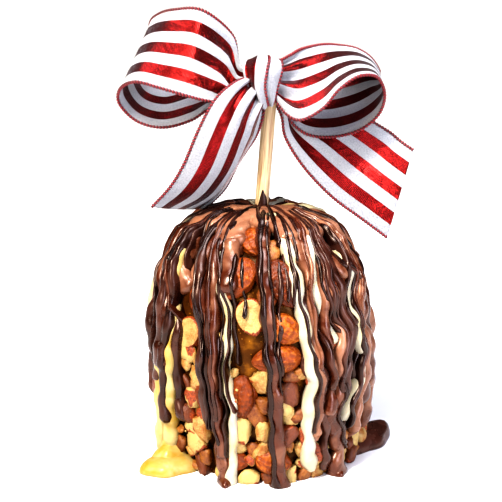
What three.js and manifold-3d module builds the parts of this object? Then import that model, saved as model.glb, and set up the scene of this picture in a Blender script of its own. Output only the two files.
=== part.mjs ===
// A gourmet caramel apple: an apple dipped in caramel, rolled in whole and chopped almonds and
// drizzled with milk, dark and white chocolate, on a wooden stick with a ribbon bow tied to it.
//
// Millimetres, +Z up. The apple stands on the plane z = 0 with its axis on z, and the side that
// carries the listed nuts and drizzles faces -Y.
//
// A place on the apple is given by two numbers. The bearing is the angle round the axis, in
// degrees, 0 towards -Y and growing towards +X. The route runs from 0 at the top of the apple,
// over the dome to 1 at its shoulder, and straight down the wall to 2 at the plate.

import * as THREE from 'three';
import { mergeVertices } from 'three/addons/utils/BufferGeometryUtils.js';
import Module from 'manifold-3d';

const wasm = await Module();
wasm.setup();

// ---------------------------------------------------------------- driving dimensions

const SHOULDER_Z = 60;
const CORE_RADIUS = 45;
const CORE_RISE = 45;
const SQUARENESS = 2.5;
const FOOT_TAPER = 2.5;
const FIT_GAP = 0.3;

const STICK_RADIUS = 2.9;
const STICK_SIDES = 16;
const STICK_FOOT = new THREE.Vector3(-5.4, 0, 42);
const STICK_TOP = new THREE.Vector3(4.2, 0, 171);

const RIBBON_THICKNESS = 1.0;

const ALMOND_SKIN = 0xa2501f;
const ALMOND_FLESH = 0xecd69a;
const CHOCOLATE = 0x6f4230;
const WOOD = 0xf0d9a0;
const RIBBON_RED = 0xb5161b;

const DEG = Math.PI / 180;

// ---------------------------------------------------------------- small helpers

/** A repeatable run of numbers between 0 and 1. */
function makeDraw(seed) {
  let state = seed;
  return () => {
    state = (state * 16807) % 2147483647;
    return state / 2147483647;
  };
}

/** The next number of a run, taken between two limits. */
function between(draw, low, high) {
  return low + (high - low) * draw();
}

/** A closed geometry from corner positions and triangles, its faces turned outwards. */
function closedGeometry(points, triangles) {
  let volume = 0;
  const cross = new THREE.Vector3();
  for (let i = 0; i < triangles.length; i += 3) {
    const [a, b, c] = [points[triangles[i]], points[triangles[i + 1]], points[triangles[i + 2]]];
    volume += a.dot(cross.crossVectors(b, c));
  }
  const places = points.flatMap((p) => [p.x, p.y, p.z]);
  const geometry = new THREE.BufferGeometry();
  geometry.setAttribute('position', new THREE.Float32BufferAttribute(places, 3));
  geometry.setIndex(volume > 0 ? triangles : triangles.slice().reverse());
  return geometry;
}

/** Skin over a row of rings with as many corners each, its two ends closed at a centre point. */
function loft(rings, firstCentre, lastCentre) {
  const sides = rings[0].length;
  const points = [...rings.flat(), firstCentre, lastCentre];
  const first = rings.length * sides;
  const triangles = [];
  for (let row = 0; row + 1 < rings.length; row += 1) {
    for (let i = 0; i < sides; i += 1) {
      const next = (i + 1) % sides;
      const [a, b] = [row * sides + i, row * sides + next];
      triangles.push(a, b, b + sides, a, b + sides, a + sides);
    }
  }
  for (let i = 0; i < sides; i += 1) {
    const next = (i + 1) % sides;
    const last = (rings.length - 1) * sides;
    triangles.push(first, next, i, first + 1, last + i, last + next);
  }
  return closedGeometry(points, triangles);
}

/** The middle of a ring of points. */
function middleOf(ring) {
  return ring.reduce((sum, p) => sum.add(p), new THREE.Vector3()).divideScalar(ring.length);
}

function toSolid(geometry) {
  const merged = mergeVertices(geometry, 1e-4);
  return new wasm.Manifold(new wasm.Mesh({
    numProp: 3,
    vertProperties: new Float32Array(merged.attributes.position.array),
    triVerts: new Uint32Array(merged.index.array),
  }));
}

function toGeometry(solid) {
  const mesh = solid.getMesh();
  const geometry = new THREE.BufferGeometry();
  geometry.setAttribute('position', new THREE.BufferAttribute(new Float32Array(mesh.vertProperties), 3));
  geometry.setIndex(new THREE.BufferAttribute(new Uint32Array(mesh.triVerts), 1));
  return geometry;
}

/** Joins many solids pairwise, so that no join carries the whole pile each time. */
function joinAll(solids) {
  let pile = solids;
  while (pile.length > 1) {
    const next = [];
    for (let i = 0; i < pile.length; i += 2) {
      next.push(i + 1 < pile.length ? pile[i].add(pile[i + 1]) : pile[i]);
    }
    pile = next;
  }
  return pile[0];
}

/** The largest body of a solid: scraps that a cut leaves loose are dropped. */
function largestBody(solid) {
  const bodies = solid.decompose();
  return bodies.reduce((best, body) => (body.volume() > best.volume() ? body : best));
}

// ---------------------------------------------------------------- places on the apple

/** The ray that a place on the apple lies on, with the two directions along the surface there. */
function placeAt(bearing, route) {
  const angle = bearing * DEG;
  const outward = new THREE.Vector3(Math.sin(angle), -Math.cos(angle), 0);
  const across = new THREE.Vector3(Math.cos(angle), Math.sin(angle), 0);
  const lean = Math.min(route, 1) * Math.PI / 2;
  const origin = new THREE.Vector3(0, 0, SHOULDER_Z * Math.min(1, 2 - route));
  const direction = outward.multiplyScalar(Math.sin(lean));
  direction.z = Math.cos(lean);
  const down = new THREE.Vector3().crossVectors(across, direction);
  return { origin, direction, across, down };
}

/** How far the caramel reaches along that ray: a squared dome, then a wall that tapers inwards. */
function coreReach(bearing, route) {
  const swell = 0.6 * Math.sin(3 * bearing * DEG + 0.8) + 0.5 * Math.sin(5 * bearing * DEG + 4 * route);
  if (route > 1) {
    return CORE_RADIUS + swell - FOOT_TAPER * (route - 1) ** 2;
  }
  const lean = route * Math.PI / 2;
  const sideways = Math.abs(Math.sin(lean) / CORE_RADIUS) ** SQUARENESS;
  const upwards = Math.abs(Math.cos(lean) / CORE_RISE) ** SQUARENESS;
  return (sideways + upwards) ** (-1 / SQUARENESS) + swell * Math.sin(lean);
}

function pointAt(bearing, route, reach) {
  const { origin, direction } = placeAt(bearing, route);
  return origin.addScaledVector(direction, reach);
}

// ---------------------------------------------------------------- nuts

// Each nut: kind, bearing, route, length, width, thickness, and the turn of its point from
// straight down towards +bearing, in degrees.
const FRONT_NUTS = [
  ['almond', -8, 0.37, 15, 11, 9, 20],
  ['almond', -16, 0.61, 21, 14, 9, -30],
  ['almond', 11, 0.63, 22, 14, 9, 20],
  ['almond', 12, 0.88, 16, 12, 9.5, 60],
  ['almond', 7, 1.07, 21, 13, 9, -85],
  ['almond', -11, 1.36, 20, 12, 9, 0],
  ['almond', 6, 1.83, 16, 12, 8, 75],
  ['almond', -17, 1.84, 15, 11, 8, 85],
  ['almond', -35, 0.74, 19, 12, 9, 10],
  ['almond', -31, 1.38, 19, 11, 8, 5],
  ['almond', 43, 0.67, 18, 12, 9, -15],
  ['almond', 68, 1.41, 20, 13, 9, 10],
  ['almond', -80, 0.96, 20, 13, 9, 5],
  ['almond', -82, 1.52, 20, 13, 9, -20],
  ['almond', 30, 1.52, 19, 12, 8, 30],
  ['half', -6, 0.81, 16, 12, 7, 15],
  ['half', 31, 1.23, 15, 13, 7, 30],
  ['half', 50, 0.89, 14, 11, 7, 0],
  ['half', -43, 0.96, 16, 12, 7, -30],
  ['chip', 6, 0.44, 10, 9, 7, 0],
  ['chip', -20, 0.42, 9, 6, 6, 30],
  ['chip', 1, 1.24, 13, 11, 8, 30],
  ['chip', 14, 1.33, 14, 10, 8, 20],
  ['chip', 1, 1.42, 10, 8, 7, 10],
  ['chip', -11, 1.60, 12, 9, 8, 10],
  ['chip', 1, 1.60, 11, 8, 8, 0],
  ['chip', 13, 1.64, 12, 8, 8, -30],
  ['chip', -32, 1.12, 10, 9, 7, 0],
  ['chip', -41, 1.42, 12, 8, 7, 0],
  ['chip', -41, 1.74, 12, 10, 7, 60],
  ['chip', -58, 1.46, 11, 8, 7, -10],
  ['chip', 63, 0.64, 10, 8, 7, 0],
  ['chip', 66, 0.88, 11, 8, 7, 15],
  ['chip', 46, 1.36, 11, 9, 7, 20],
  ['chip', 62, 1.72, 11, 9, 7, 40],
  ['chip', 30, 1.80, 11, 8, 7, 20],
  ['chip', -66, 0.62, 10, 8, 7, 0],
];

const BACK_NUT_SEED = 4127;
const BACK_FROM = 92;
const BACK_TO = 262;
const BACK_ROUTES = [0.40, 0.64, 0.88, 1.11, 1.34, 1.58, 1.81];
const BACK_LOWEST = 1.7;
const BACK_PITCH = 25;
const BACK_WANDER = 0.035;

// The kinds at the back: the share they add up to, then length, width and thickness.
const BACK_KINDS = [
  ['almond', 0.36, 21, 12.5, 8.5],
  ['half', 0.5, 16, 11.5, 7],
  ['chip', 1, 11.5, 9, 7.5],
];

/**
 * The nuts of the sides and back: rows round the apple, spaced by the room there is. Those of
 * the lowest row lie on their sides, clear of the plate.
 */
function backNuts() {
  const draw = makeDraw(BACK_NUT_SEED);
  const nuts = [];
  for (const route of BACK_ROUTES) {
    const girth = coreReach(180, route) * Math.sin(Math.min(route, 1) * Math.PI / 2);
    const count = Math.round((BACK_TO - BACK_FROM) * DEG * girth / BACK_PITCH);
    const step = (BACK_TO - BACK_FROM) / count;
    const low = route > BACK_LOWEST;
    for (let i = 0; i < count; i += 1) {
      const bearing = BACK_FROM + (i + between(draw, 0.3, 0.7)) * step;
      const place = low ? route : route + between(draw, -BACK_WANDER, BACK_WANDER);
      const pick = draw();
      const [kind, , length, width, thickness] = BACK_KINDS.find(([, share]) => pick < share);
      const size = between(draw, 0.9, 1.1);
      const turn = low ? between(draw, 60, 110) : between(draw, -70, 70);
      nuts.push([kind, bearing, place, length * size, width * size, thickness, turn]);
    }
  }
  return nuts;
}

const NUT_RISE = 0.06;

/**
 * A nut's place and axes: its middle lies just over the caramel, by a share of its thickness,
 * and it has point, breadth and face directions and three half sizes.
 */
function nutFrame([kind, bearing, route, length, width, thickness, turn]) {
  const { direction, across, down } = placeAt(bearing, route);
  const centre = pointAt(bearing, route, coreReach(bearing, route) + NUT_RISE * thickness);
  const [toDown, toAcross] = [Math.cos(turn * DEG), Math.sin(turn * DEG)];
  const point = down.clone().multiplyScalar(toDown).addScaledVector(across, toAcross);
  const breadth = new THREE.Vector3().crossVectors(direction, point);
  return { kind, centre, point, breadth, face: direction, half: [length / 2, width / 2, thickness / 2] };
}

/** Puts a shape given along the nut's own three axes where the nut lies. */
function placeOnNut(nut, u, v, w, grow = 0) {
  return nut.centre.clone()
    .addScaledVector(nut.point, u * (nut.half[0] + grow))
    .addScaledVector(nut.breadth, v * (nut.half[1] + grow))
    .addScaledVector(nut.face, w * (nut.half[2] + grow));
}

const NUT_SIDES = 6;
const NUT_BANDS = 6;
const SOCKET_BANDS = 4;
const SOCKET_GAP = 0.8;
const HALF_NUT_FACE = 0.45;

/** An almond: round at one end, pointed at the other. A half has a flat cut face outwards. */
function almondGeometry(nut, grow = 0, bands = NUT_BANDS) {
  const rings = [];
  for (let row = 1; row < bands; row += 1) {
    const along = -Math.cos(Math.PI * row / bands);
    const girth = (1 - along) ** 0.62 * (1 + along) ** 0.5;
    const ring = [];
    for (let i = 0; i < NUT_SIDES; i += 1) {
      const angle = 2 * Math.PI * i / NUT_SIDES;
      const rise = girth * Math.sin(angle);
      const cut = nut.kind === 'half' ? Math.min(rise, HALF_NUT_FACE) : rise;
      ring.push(placeOnNut(nut, along, girth * Math.cos(angle), cut, grow));
    }
    rings.push(ring);
  }
  return loft(rings, placeOnNut(nut, -1, 0, 0, grow), placeOnNut(nut, 1, 0, 0, grow));
}

/** Keeps each loose nut that stays clear of all those laid before it. */
function layClear(wanted) {
  const laid = [];
  for (const nut of wanted) {
    const solid = toSolid(almondGeometry(nut, FIT_GAP));
    if (laid.every((other) => other.solid.intersect(solid).isEmpty())) {
      laid.push({ nut, solid });
    }
  }
  return laid.map(({ nut }) => nut);
}

const CHIP_SEED = 311;
const CHIP_BLOCK = [1.3, 1.3, 1.5];

/** A geometry with only its places left, and each shared corner there once. */
function bareGeometry(geometry) {
  return mergeVertices(geometry.deleteAttribute('normal').deleteAttribute('uv'), 1e-4);
}

/** A chopped nut: a chunk with six uneven faces, given in the nut's own half sizes. */
function chipGeometry(nut, draw) {
  const chunk = bareGeometry(new THREE.BoxGeometry(...CHIP_BLOCK));
  const corner = new THREE.Vector3();
  const points = [];
  for (let i = 0; i < chunk.attributes.position.count; i += 1) {
    corner.fromBufferAttribute(chunk.attributes.position, i).multiplyScalar(between(draw, 0.8, 1.2));
    points.push(placeOnNut(nut, corner.x, corner.y, corner.z));
  }
  return closedGeometry(points, Array.from(chunk.index.array));
}

// ---------------------------------------------------------------- chocolate drizzles

// Each drizzle: chocolate, width, then the places it runs over as bearing and route. It ends
// in a drop at the last place. Those that end at 2 stand on the plate.
const FRONT_DRIZZLES = [
  ['dark', 4.5, [-100, 0.10], [-92, 0.45], [-80, 0.68], [-76, 1.07], [-74, 1.30]],
  ['milk', 5.5, [-85, 0.12], [-78, 0.50], [-67, 0.81], [-62, 1.10], [-59, 1.30]],
  ['dark', 3.6, [-72, 0.12], [-66, 0.50], [-50, 0.92], [-50, 1.24], [-47, 1.62]],
  ['white', 5.5, [-66, 0.40], [-55, 0.78], [-54, 1.26], [-57, 1.60], [-60, 2.0]],
  ['milk', 6.0, [-74, 0.10], [-65, 0.40], [-56, 0.63], [-47, 0.72]],
  ['milk', 4.5, [-66, 0.10], [-56, 0.36], [-43, 0.51], [-38, 0.68]],
  ['milk', 4.2, [-56, 0.10], [-46, 0.34], [-37, 0.60], [-29, 0.86], [-26, 1.21], [-24, 1.60], [-20, 2.0]],
  ['dark', 3.2, [-48, 0.10], [-38, 0.36], [-29, 0.60], [-25, 0.86], [-23, 1.10], [-21, 1.50], [-17, 1.80]],
  ['white', 3.0, [-34, 0.42], [-24, 0.64], [-18, 0.84], [-19, 1.12], [-15, 1.45], [-16, 2.0]],
  ['milk', 5.0, [6, 0.08], [0, 0.37], [1, 0.62], [3, 0.90], [6, 1.30], [8, 1.80], [9, 2.0]],
  ['white', 4.5, [12, 0.12], [16, 0.36], [18, 0.57], [20, 0.82], [25, 1.21], [23, 1.55], [26, 1.94]],
  ['milk', 5.5, [26, 0.08], [25, 0.30], [24, 0.54]],
  ['dark', 3.6, [40, 0.10], [27, 0.43], [24, 0.71], [22, 0.90], [23, 1.20]],
  ['dark', 3.2, [44, 0.14], [30, 0.52], [28, 0.80], [30, 1.15], [33, 1.60], [36, 1.96]],
  ['white', 4.0, [38, 0.34], [30, 0.57], [32, 0.76], [36, 1.00]],
  ['milk', 4.6, [60, 0.10], [45, 0.40], [50, 0.60], [60, 0.73], [52, 0.92]],
  ['milk', 4.6, [52, 0.12], [39, 0.46], [38, 0.72], [42, 0.92], [40, 1.35]],
  ['white', 4.2, [66, 0.42], [52, 0.71], [51, 0.90], [58, 1.20], [50, 1.42], [46, 1.62]],
  ['dark', 3.6, [72, 0.14], [60, 0.60], [55, 0.94], [54, 1.30], [50, 1.68]],
  ['dark', 4.6, [86, 0.12], [80, 0.60], [76, 1.00], [65, 1.22], [68, 1.62]],
  ['milk', 5.6, [40, 1.30], [37, 1.54], [43, 1.80], [43, 2.0]],
  ['milk', 4.4, [80, 0.20], [70, 0.62], [66, 0.92], [72, 1.30], [76, 1.80]],
];

const BACK_DRIZZLE_SEED = 907;
const BACK_DRIZZLES = 13;
const BACK_DRIZZLES_FROM = 88;
const BACK_DRIZZLES_TO = 266;
const DRIZZLE_TOP = 0.1;
const DRIZZLE_PLACES = 6;
const TO_THE_PLATE = 0.3;

// The chocolates at the back: the share they add up to, and the usual width.
const BACK_CHOCOLATES = [
  ['milk', 0.42, 4.2],
  ['dark', 0.78, 3.4],
  ['white', 1, 4.6],
];

/** The drizzles of the sides and back, each from the stick down to a foot of its own. */
function backDrizzles() {
  const draw = makeDraw(BACK_DRIZZLE_SEED);
  const step = (BACK_DRIZZLES_TO - BACK_DRIZZLES_FROM) / BACK_DRIZZLES;
  const drizzles = [];
  for (let i = 0; i < BACK_DRIZZLES; i += 1) {
    const bearing = BACK_DRIZZLES_FROM + (i + between(draw, 0.2, 0.8)) * step;
    const pick = draw();
    const [kind, , usual] = BACK_CHOCOLATES.find(([, share]) => pick < share);
    const width = usual * between(draw, 0.85, 1.25);
    const foot = draw() < TO_THE_PLATE ? 2 : between(draw, 1.15, 1.9);
    const places = [];
    for (let row = 0; row < DRIZZLE_PLACES; row += 1) {
      const along = row / (DRIZZLE_PLACES - 1);
      const sway = between(draw, -2.5, 2.5) + 8 * Math.sin(2.4 * along) - 4;
      places.push([bearing + sway, DRIZZLE_TOP + (foot - DRIZZLE_TOP) * along]);
    }
    drizzles.push([kind, width, ...places]);
  }
  return drizzles;
}

// How far each chocolate stands over what it runs across.
const STANDS_OVER = { white: 1.8, milk: 2.0, dark: 2.2 };
const PILE_AT_STICK = 3.0;
const PILE_SPREAD = 0.22;
const END_ROUNDING = 0.07;
const RIDGE_SIDE = 0.12;
const LEAST_APART = 0.7;
const FOOT_CLEARANCE = 0.12;
const REACH_SAMPLES = [-0.06, -0.03, 0, 0.03, 0.06];
const HANG_FROM = 1;
const HANG_SAMPLE = 0.15;
const HANG_SLOPE = 5;

/** Where a ray leaves a nut, or 0 when it misses: the nut is taken as an ellipsoid. */
function reachOverNut(origin, direction, nut) {
  const offset = origin.clone().sub(nut.centre);
  let [a, b, c] = [0, 0, -1];
  [nut.point, nut.breadth, nut.face].forEach((axis, i) => {
    const start = offset.dot(axis) / nut.half[i];
    const slope = direction.dot(axis) / nut.half[i];
    a += slope * slope;
    b += start * slope;
    c += start * start;
  });
  const under = b * b - a * c;
  return under > 0 ? (-b + Math.sqrt(under)) / a : 0;
}

/** How far the outermost thing reaches at a place: the caramel or any nut. */
function drapeReach(bearing, route, nuts) {
  const { origin, direction } = placeAt(bearing, route);
  const pile = PILE_AT_STICK * Math.exp(-((route / PILE_SPREAD) ** 2));
  return nuts.reduce((reach, nut) => Math.max(reach, reachOverNut(origin, direction, nut)),
    coreReach(bearing, route) + pile);
}

/** The bearing at which a drizzle crosses a route, straight between its places. */
function bearingAt(places, route) {
  const last = places.findIndex(([, r]) => r >= route);
  if (last <= 0) {
    return places[last === 0 ? 0 : places.length - 1][0];
  }
  const [[b0, r0], [b1, r1]] = [places[last - 1], places[last]];
  return b0 + (b1 - b0) * (route - r0) / (r1 - r0);
}

/** Below the shoulder a drizzle hangs: it falls back little from the nuts it ran over above. */
function hangReach(places, route, nuts) {
  let reach = 0;
  for (let above = Math.max(HANG_FROM, places[0][1]); above < route; above += HANG_SAMPLE) {
    const over = drapeReach(bearingAt(places, above), above, nuts);
    reach = Math.max(reach, over - HANG_SLOPE * (route - above));
  }
  return reach;
}

/** A drizzle where it crosses a route: its bearing, half its width in degrees, and its ridge. */
function ridgeAt([kind, width, ...places], route, nuts) {
  const bearing = ((bearingAt(places, route) + 540) % 360) - 180;
  const first = places[0][1];
  const foot = places[places.length - 1][1];
  const above = Math.min(1, (route - first) / END_ROUNDING + 0.5);
  const below = foot >= 2 ? 1 : Math.min(1, (foot - route) / END_ROUNDING);
  const body = Math.sqrt(Math.max(0, Math.min(above, below)));
  if (body === 0) {
    return { bearing, half: LEAST_APART / 2, reach: coreReach(bearing, route) };
  }
  const girth = (CORE_RADIUS + STANDS_OVER[kind]) * Math.sin(Math.min(route, 1) * Math.PI / 2);
  const half = Math.max(LEAST_APART / 2, 0.5 * width * body / girth / DEG);
  const under = REACH_SAMPLES.flatMap((r) => [-0.6, 0, 0.6].map(
    (side) => drapeReach(bearing + side * half, Math.min(2, route + r), nuts),
  ));
  const reach = Math.max(...under, hangReach(places, route, nuts)) + STANDS_OVER[kind] * body;
  return { bearing, half, reach };
}

/** Spreads ridges that run together, and gives each the ground up to its neighbours. */
function settleRidges(ridges) {
  const row = ridges.slice().sort((a, b) => a.bearing - b.bearing);
  for (let i = 1; i < row.length; i += 1) {
    row[i].bearing = Math.max(row[i].bearing, row[i - 1].bearing + LEAST_APART);
  }
  return row.map((ridge, i) => {
    const before = row[(i + row.length - 1) % row.length];
    const after = row[(i + 1) % row.length];
    const back = (ridge.bearing - before.bearing + 360) % 360;
    const ahead = (after.bearing - ridge.bearing + 360) % 360;
    const left = Math.min(ridge.half, back * ridge.half / (ridge.half + before.half) - FOOT_CLEARANCE);
    const right = Math.min(ridge.half, ahead * ridge.half / (ridge.half + after.half) - FOOT_CLEARANCE);
    return { ...ridge, left: ridge.bearing - left, right: ridge.bearing + right };
  });
}

/** One ring of the coat: for each drizzle its foot, its two shoulders and its other foot. */
function coatRing(route, drizzles, nuts) {
  const ridges = settleRidges(drizzles.map((drizzle) => ridgeAt(drizzle, route, nuts)));
  return ridges.flatMap(({ left, right, reach }) => {
    const side = RIDGE_SIDE * (right - left);
    return [
      pointAt(left, route, coreReach(left, route)),
      pointAt(left + side, route, reach),
      pointAt(right - side, route, reach),
      pointAt(right, route, coreReach(right, route)),
    ];
  });
}

const COAT_ROUTES = [0.14, 0.32, 0.5, 0.65, 0.8, 0.95, 1.15, 1.36, 1.57, 1.78, 1.94];

/** The caramel apple under its drizzles: ridges down a squared dome and wall to a flat base. */
function coatGeometry(drizzles, nuts) {
  const rings = COAT_ROUTES.map((route) => coatRing(route, drizzles, nuts));
  rings.push(coatRing(2, drizzles, nuts));
  return loft(rings, pointAt(0, 0, CORE_RISE + PILE_AT_STICK), new THREE.Vector3(0, 0, 0));
}

// ---------------------------------------------------------------- pools

// Each pool: centre, half length, half width, the bearing of its length, and its height.
const POOLS = [
  { centre: [-40, -29], long: 12, wide: 10.5, along: -54, height: 6.0 },
  { centre: [49, 2], long: 16, wide: 8, along: 145, height: 6.0 },
  { centre: [-16, -42], long: 7, wide: 3.6, along: 8, height: 3.4 },
  { centre: [31, -33], long: 5.5, wide: 4.2, along: 41, height: 3.4 },
  { centre: [-27, 36], long: 9, wide: 7, along: 216, height: 3.4 },
];

const POOL_SIDES = 10;

// A pool's section, as shares of its width and height: sharp foot, round edge, flat top.
const POOL_LEVELS = [[0.94, 0], [1, 0.4], [0.72, 0.9]];

/** A pool of set chocolate on the plate: a low uneven dome with a flat underside. */
function poolGeometry({ centre, long, wide, along, height }) {
  const [x, y] = centre;
  const length = new THREE.Vector3(Math.sin(along * DEG), -Math.cos(along * DEG), 0);
  const width = new THREE.Vector3(length.y, -length.x, 0);
  const rings = POOL_LEVELS.map(([spread, rise]) => Array.from({ length: POOL_SIDES }, (_, i) => {
    const angle = 2 * Math.PI * i / POOL_SIDES;
    const uneven = spread * (1 + 0.12 * Math.sin(2 * angle + 1) + 0.06 * Math.sin(5 * angle));
    return new THREE.Vector3(x, y, rise * height)
      .addScaledVector(length, long * uneven * Math.cos(angle))
      .addScaledVector(width, wide * uneven * Math.sin(angle));
  }));
  return loft(rings, new THREE.Vector3(x, y, 0), new THREE.Vector3(x, y, height));
}

// ---------------------------------------------------------------- stick and ribbon

/** The stick, a plain round rod that leans a little; grown all over, it is its own hole. */
function stickGeometry(grow = 0) {
  const radius = STICK_RADIUS + grow;
  const length = STICK_TOP.distanceTo(STICK_FOOT) + 2 * grow;
  const direction = STICK_TOP.clone().sub(STICK_FOOT).normalize();
  const turn = new THREE.Quaternion().setFromUnitVectors(new THREE.Vector3(0, 1, 0), direction);
  const middle = STICK_TOP.clone().add(STICK_FOOT).multiplyScalar(0.5);
  const rod = new THREE.CylinderGeometry(radius, radius, length, STICK_SIDES);
  return bareGeometry(rod.applyQuaternion(turn).translate(middle.x, middle.y, middle.z));
}

// Each length of ribbon is given by pairs of points across it, upper edge and lower edge, from
// the knot outwards. A third value is how far the middle of the cloth bulges from between them.
const LEFT_LOOP = [
  [[-3, 3, 170], [-3, -5, 159]],
  [[-9.8, 6.5, 170.5], [-13, -9, 157]],
  [[-12.8, 8.5, 183], [-22, -13, 158]],
  [[-25, 2, 194], [-33, -15, 161]],
  [[-37, 7, 194], [-43, -15, 164]],
  [[-45, 16, 191], [-53, -12, 166]],
  [[-49, 23, 186], [-60, -4, 162]],
  [[-50, 31, 173], [-61, 0, 155]],
  [[-50, 36, 165], [-54, 3, 147]],
  [[-43, 38, 162], [-43, 4, 144]],
  [[-33, 35, 165], [-31, 4, 147]],
  [[-21, 24, 168], [-21, 3, 153]],
  [[-3, 6, 171], [-3, 4, 158]],
];
const RIGHT_LOOP = [
  [[5, 0, 172], [5, -5, 158]],
  [[12, 6, 175], [10, -9, 152]],
  [[17, 11, 177], [16, -12, 150]],
  [[26, 18, 178], [25, -13, 155]],
  [[34, 24, 177], [32, -12, 163]],
  [[42, 28, 175], [40, -10, 168]],
  [[49, 33, 170], [48, -5, 167]],
  [[53, 38, 163], [52, 0, 159]],
  [[46, 38, 165], [50, 3, 150]],
  [[38, 34, 165], [42, 4, 143]],
  [[29, 34, 163], [31, 4, 140]],
  [[20, 30, 163], [20, 3, 141]],
  [[12, 20, 165], [12, 3, 147]],
  [[5, 6, 171], [5, 4, 158]],
];
const LEFT_TAIL = [
  [[-1, -8, 171], [1, -7, 159], 0],
  [[-12, -15, 166], [0, -7, 150], 4.5],
  [[-20, -17, 159], [-3, -2, 141], 7.8],
  [[-27, -17, 146], [-7, 3, 134], 8.9],
  [[-33, -16, 132], [-11.2, 8, 126.3], 7.9],
  [[-39, -15, 122], [-16.4, 12, 115.4], 5.4],
  [[-47, -14, 113], [-25.2, 16, 105.4], 0.9],
];
const RIGHT_TAIL = [
  [[5, 4, 163], [3, 0, 159]],
  [[16, 12, 152], [8, 0, 150]],
  [[27, 16, 147.5], [10, 1, 140]],
  [[41, 18, 147.5], [18, 2, 127]],
  [[54.5, 15.5, 141], [30, 3, 114]],
  [[61, 12.5, 136.2], [43, 4, 104]],
  [[66, 10, 133], [55, 4, 95]],
];
const STRIP_COLUMNS = 2;
const STEPS_PER_SPAN = 2;

/** How far the cloth bulges at a share of its way, straight between its stations. */
function bulgeAt(stations, t) {
  const place = t * (stations.length - 1);
  const before = Math.min(Math.floor(place), stations.length - 2);
  const [a, b] = [stations[before][2] ?? 0, stations[before + 1][2] ?? 0];
  return a + (b - a) * (place - before);
}

/** A thin slab of ribbon between two edges, half its thickness on either side of the cloth. */
function stripGeometry(stations) {
  const edge = (side) => new THREE.CatmullRomCurve3(
    stations.map((pair) => new THREE.Vector3(...pair[side])), false, 'catmullrom', 0.5,
  );
  const [upper, lower] = [edge(0), edge(1)];
  const rows = (stations.length - 1) * STEPS_PER_SPAN;
  const rings = [];
  for (let row = 0; row <= rows; row += 1) {
    const t = row / rows;
    const [from, to] = [upper.getPoint(t), lower.getPoint(t)];
    const forward = upper.getTangent(t).add(lower.getTangent(t));
    const outwards = forward.cross(to.clone().sub(from)).normalize();
    const bulge = bulgeAt(stations, t);
    const line = [];
    for (let i = 0; i <= STRIP_COLUMNS; i += 1) {
      const share = i / STRIP_COLUMNS;
      line.push(from.clone().lerp(to, share).addScaledVector(outwards, 4 * share * (1 - share) * bulge));
    }
    const front = line.map((p) => p.clone().addScaledVector(outwards, RIBBON_THICKNESS / 2));
    const back = line.map((p) => p.clone().addScaledVector(outwards, -RIBBON_THICKNESS / 2)).reverse();
    rings.push([...front, ...back]);
  }
  return loft(rings, middleOf(rings[0]), middleOf(rings[rings.length - 1]));
}

const KNOT_SIDES = 12;

// Heights up the knot, each with its middle and its half width and half depth.
const KNOT_LEVELS = [
  { z: 155.5, middle: [1.9, -0.6], half: [4.5, 6.4] },
  { z: 159, middle: [1.5, -1.0], half: [5.3, 7.9] },
  { z: 165, middle: [1.0, -1.5], half: [6.6, 9.2] },
  { z: 171.5, middle: [0.4, -1.5], half: [7.8, 9.6] },
  { z: 174.5, middle: [0.4, -1.2], half: [5.6, 7.0] },
];

/** The knot: a band wrapped round the stick and the roots of the loops, drawn in at its foot. */
function knotGeometry() {
  const rings = KNOT_LEVELS.map(({ z, middle, half }) => Array.from({ length: KNOT_SIDES }, (_, i) => {
    const angle = 2 * Math.PI * i / KNOT_SIDES;
    const x = middle[0] + half[0] * Math.cos(angle);
    const y = middle[1] + half[1] * Math.sin(angle);
    return new THREE.Vector3(x, y, z);
  }));
  return loft(rings, middleOf(rings[0]), middleOf(rings[rings.length - 1]));
}

// ---------------------------------------------------------------- putting it together

const apple = new THREE.Group();

function addPart(name, geometry, color, roughness) {
  const material = new THREE.MeshStandardMaterial({ color, roughness, metalness: 0 });
  const mesh = new THREE.Mesh(geometry, material);
  mesh.name = name;
  apple.add(mesh);
}

/** The apple in its caramel, with the drizzles, chopped nuts and pools that have set onto it. */
function coatedApple(nuts, looseNuts, stickHole) {
  const chips = nuts.filter((nut) => nut.kind === 'chip');
  const draw = makeDraw(CHIP_SEED);
  const coated = joinAll([
    coatGeometry([...FRONT_DRIZZLES, ...backDrizzles()], nuts),
    ...chips.map((nut) => chipGeometry(nut, draw)),
    ...POOLS.map(poolGeometry),
  ].map(toSolid));
  const sockets = joinAll(looseNuts.map((nut) => {
    const bands = nut.kind === 'half' ? NUT_BANDS : SOCKET_BANDS;
    return toSolid(almondGeometry(nut, SOCKET_GAP, bands));
  }));
  return toGeometry(largestBody(coated.subtract(sockets).subtract(stickHole)));
}

/** The bow: two loops and two tails of one ribbon, drawn together at the knot. */
function tiedBow(stickHole) {
  const lengths = [LEFT_LOOP, RIGHT_LOOP, LEFT_TAIL, RIGHT_TAIL].map(stripGeometry);
  const tied = joinAll([...lengths, knotGeometry()].map(toSolid));
  return toGeometry(largestBody(tied.subtract(stickHole)));
}

const NAMES = { almond: 'almond', half: 'almond_half' };
const NUT_COLOURS = { almond: ALMOND_SKIN, half: ALMOND_FLESH };

/** Adds each whole or halved almond as a piece of its own, numbered within its kind. */
function addNuts(looseNuts) {
  for (const kind of Object.keys(NAMES)) {
    looseNuts.filter((nut) => nut.kind === kind).forEach((nut, i) => {
      const name = `${NAMES[kind]}_${String(i + 1).padStart(2, '0')}`;
      addPart(name, almondGeometry(nut), NUT_COLOURS[kind], 0.6);
    });
  }
}

const nuts = [...FRONT_NUTS, ...backNuts()].map(nutFrame);
const looseNuts = layClear(nuts.filter((nut) => nut.kind !== 'chip'));
const stickHole = toSolid(stickGeometry(FIT_GAP));

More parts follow.
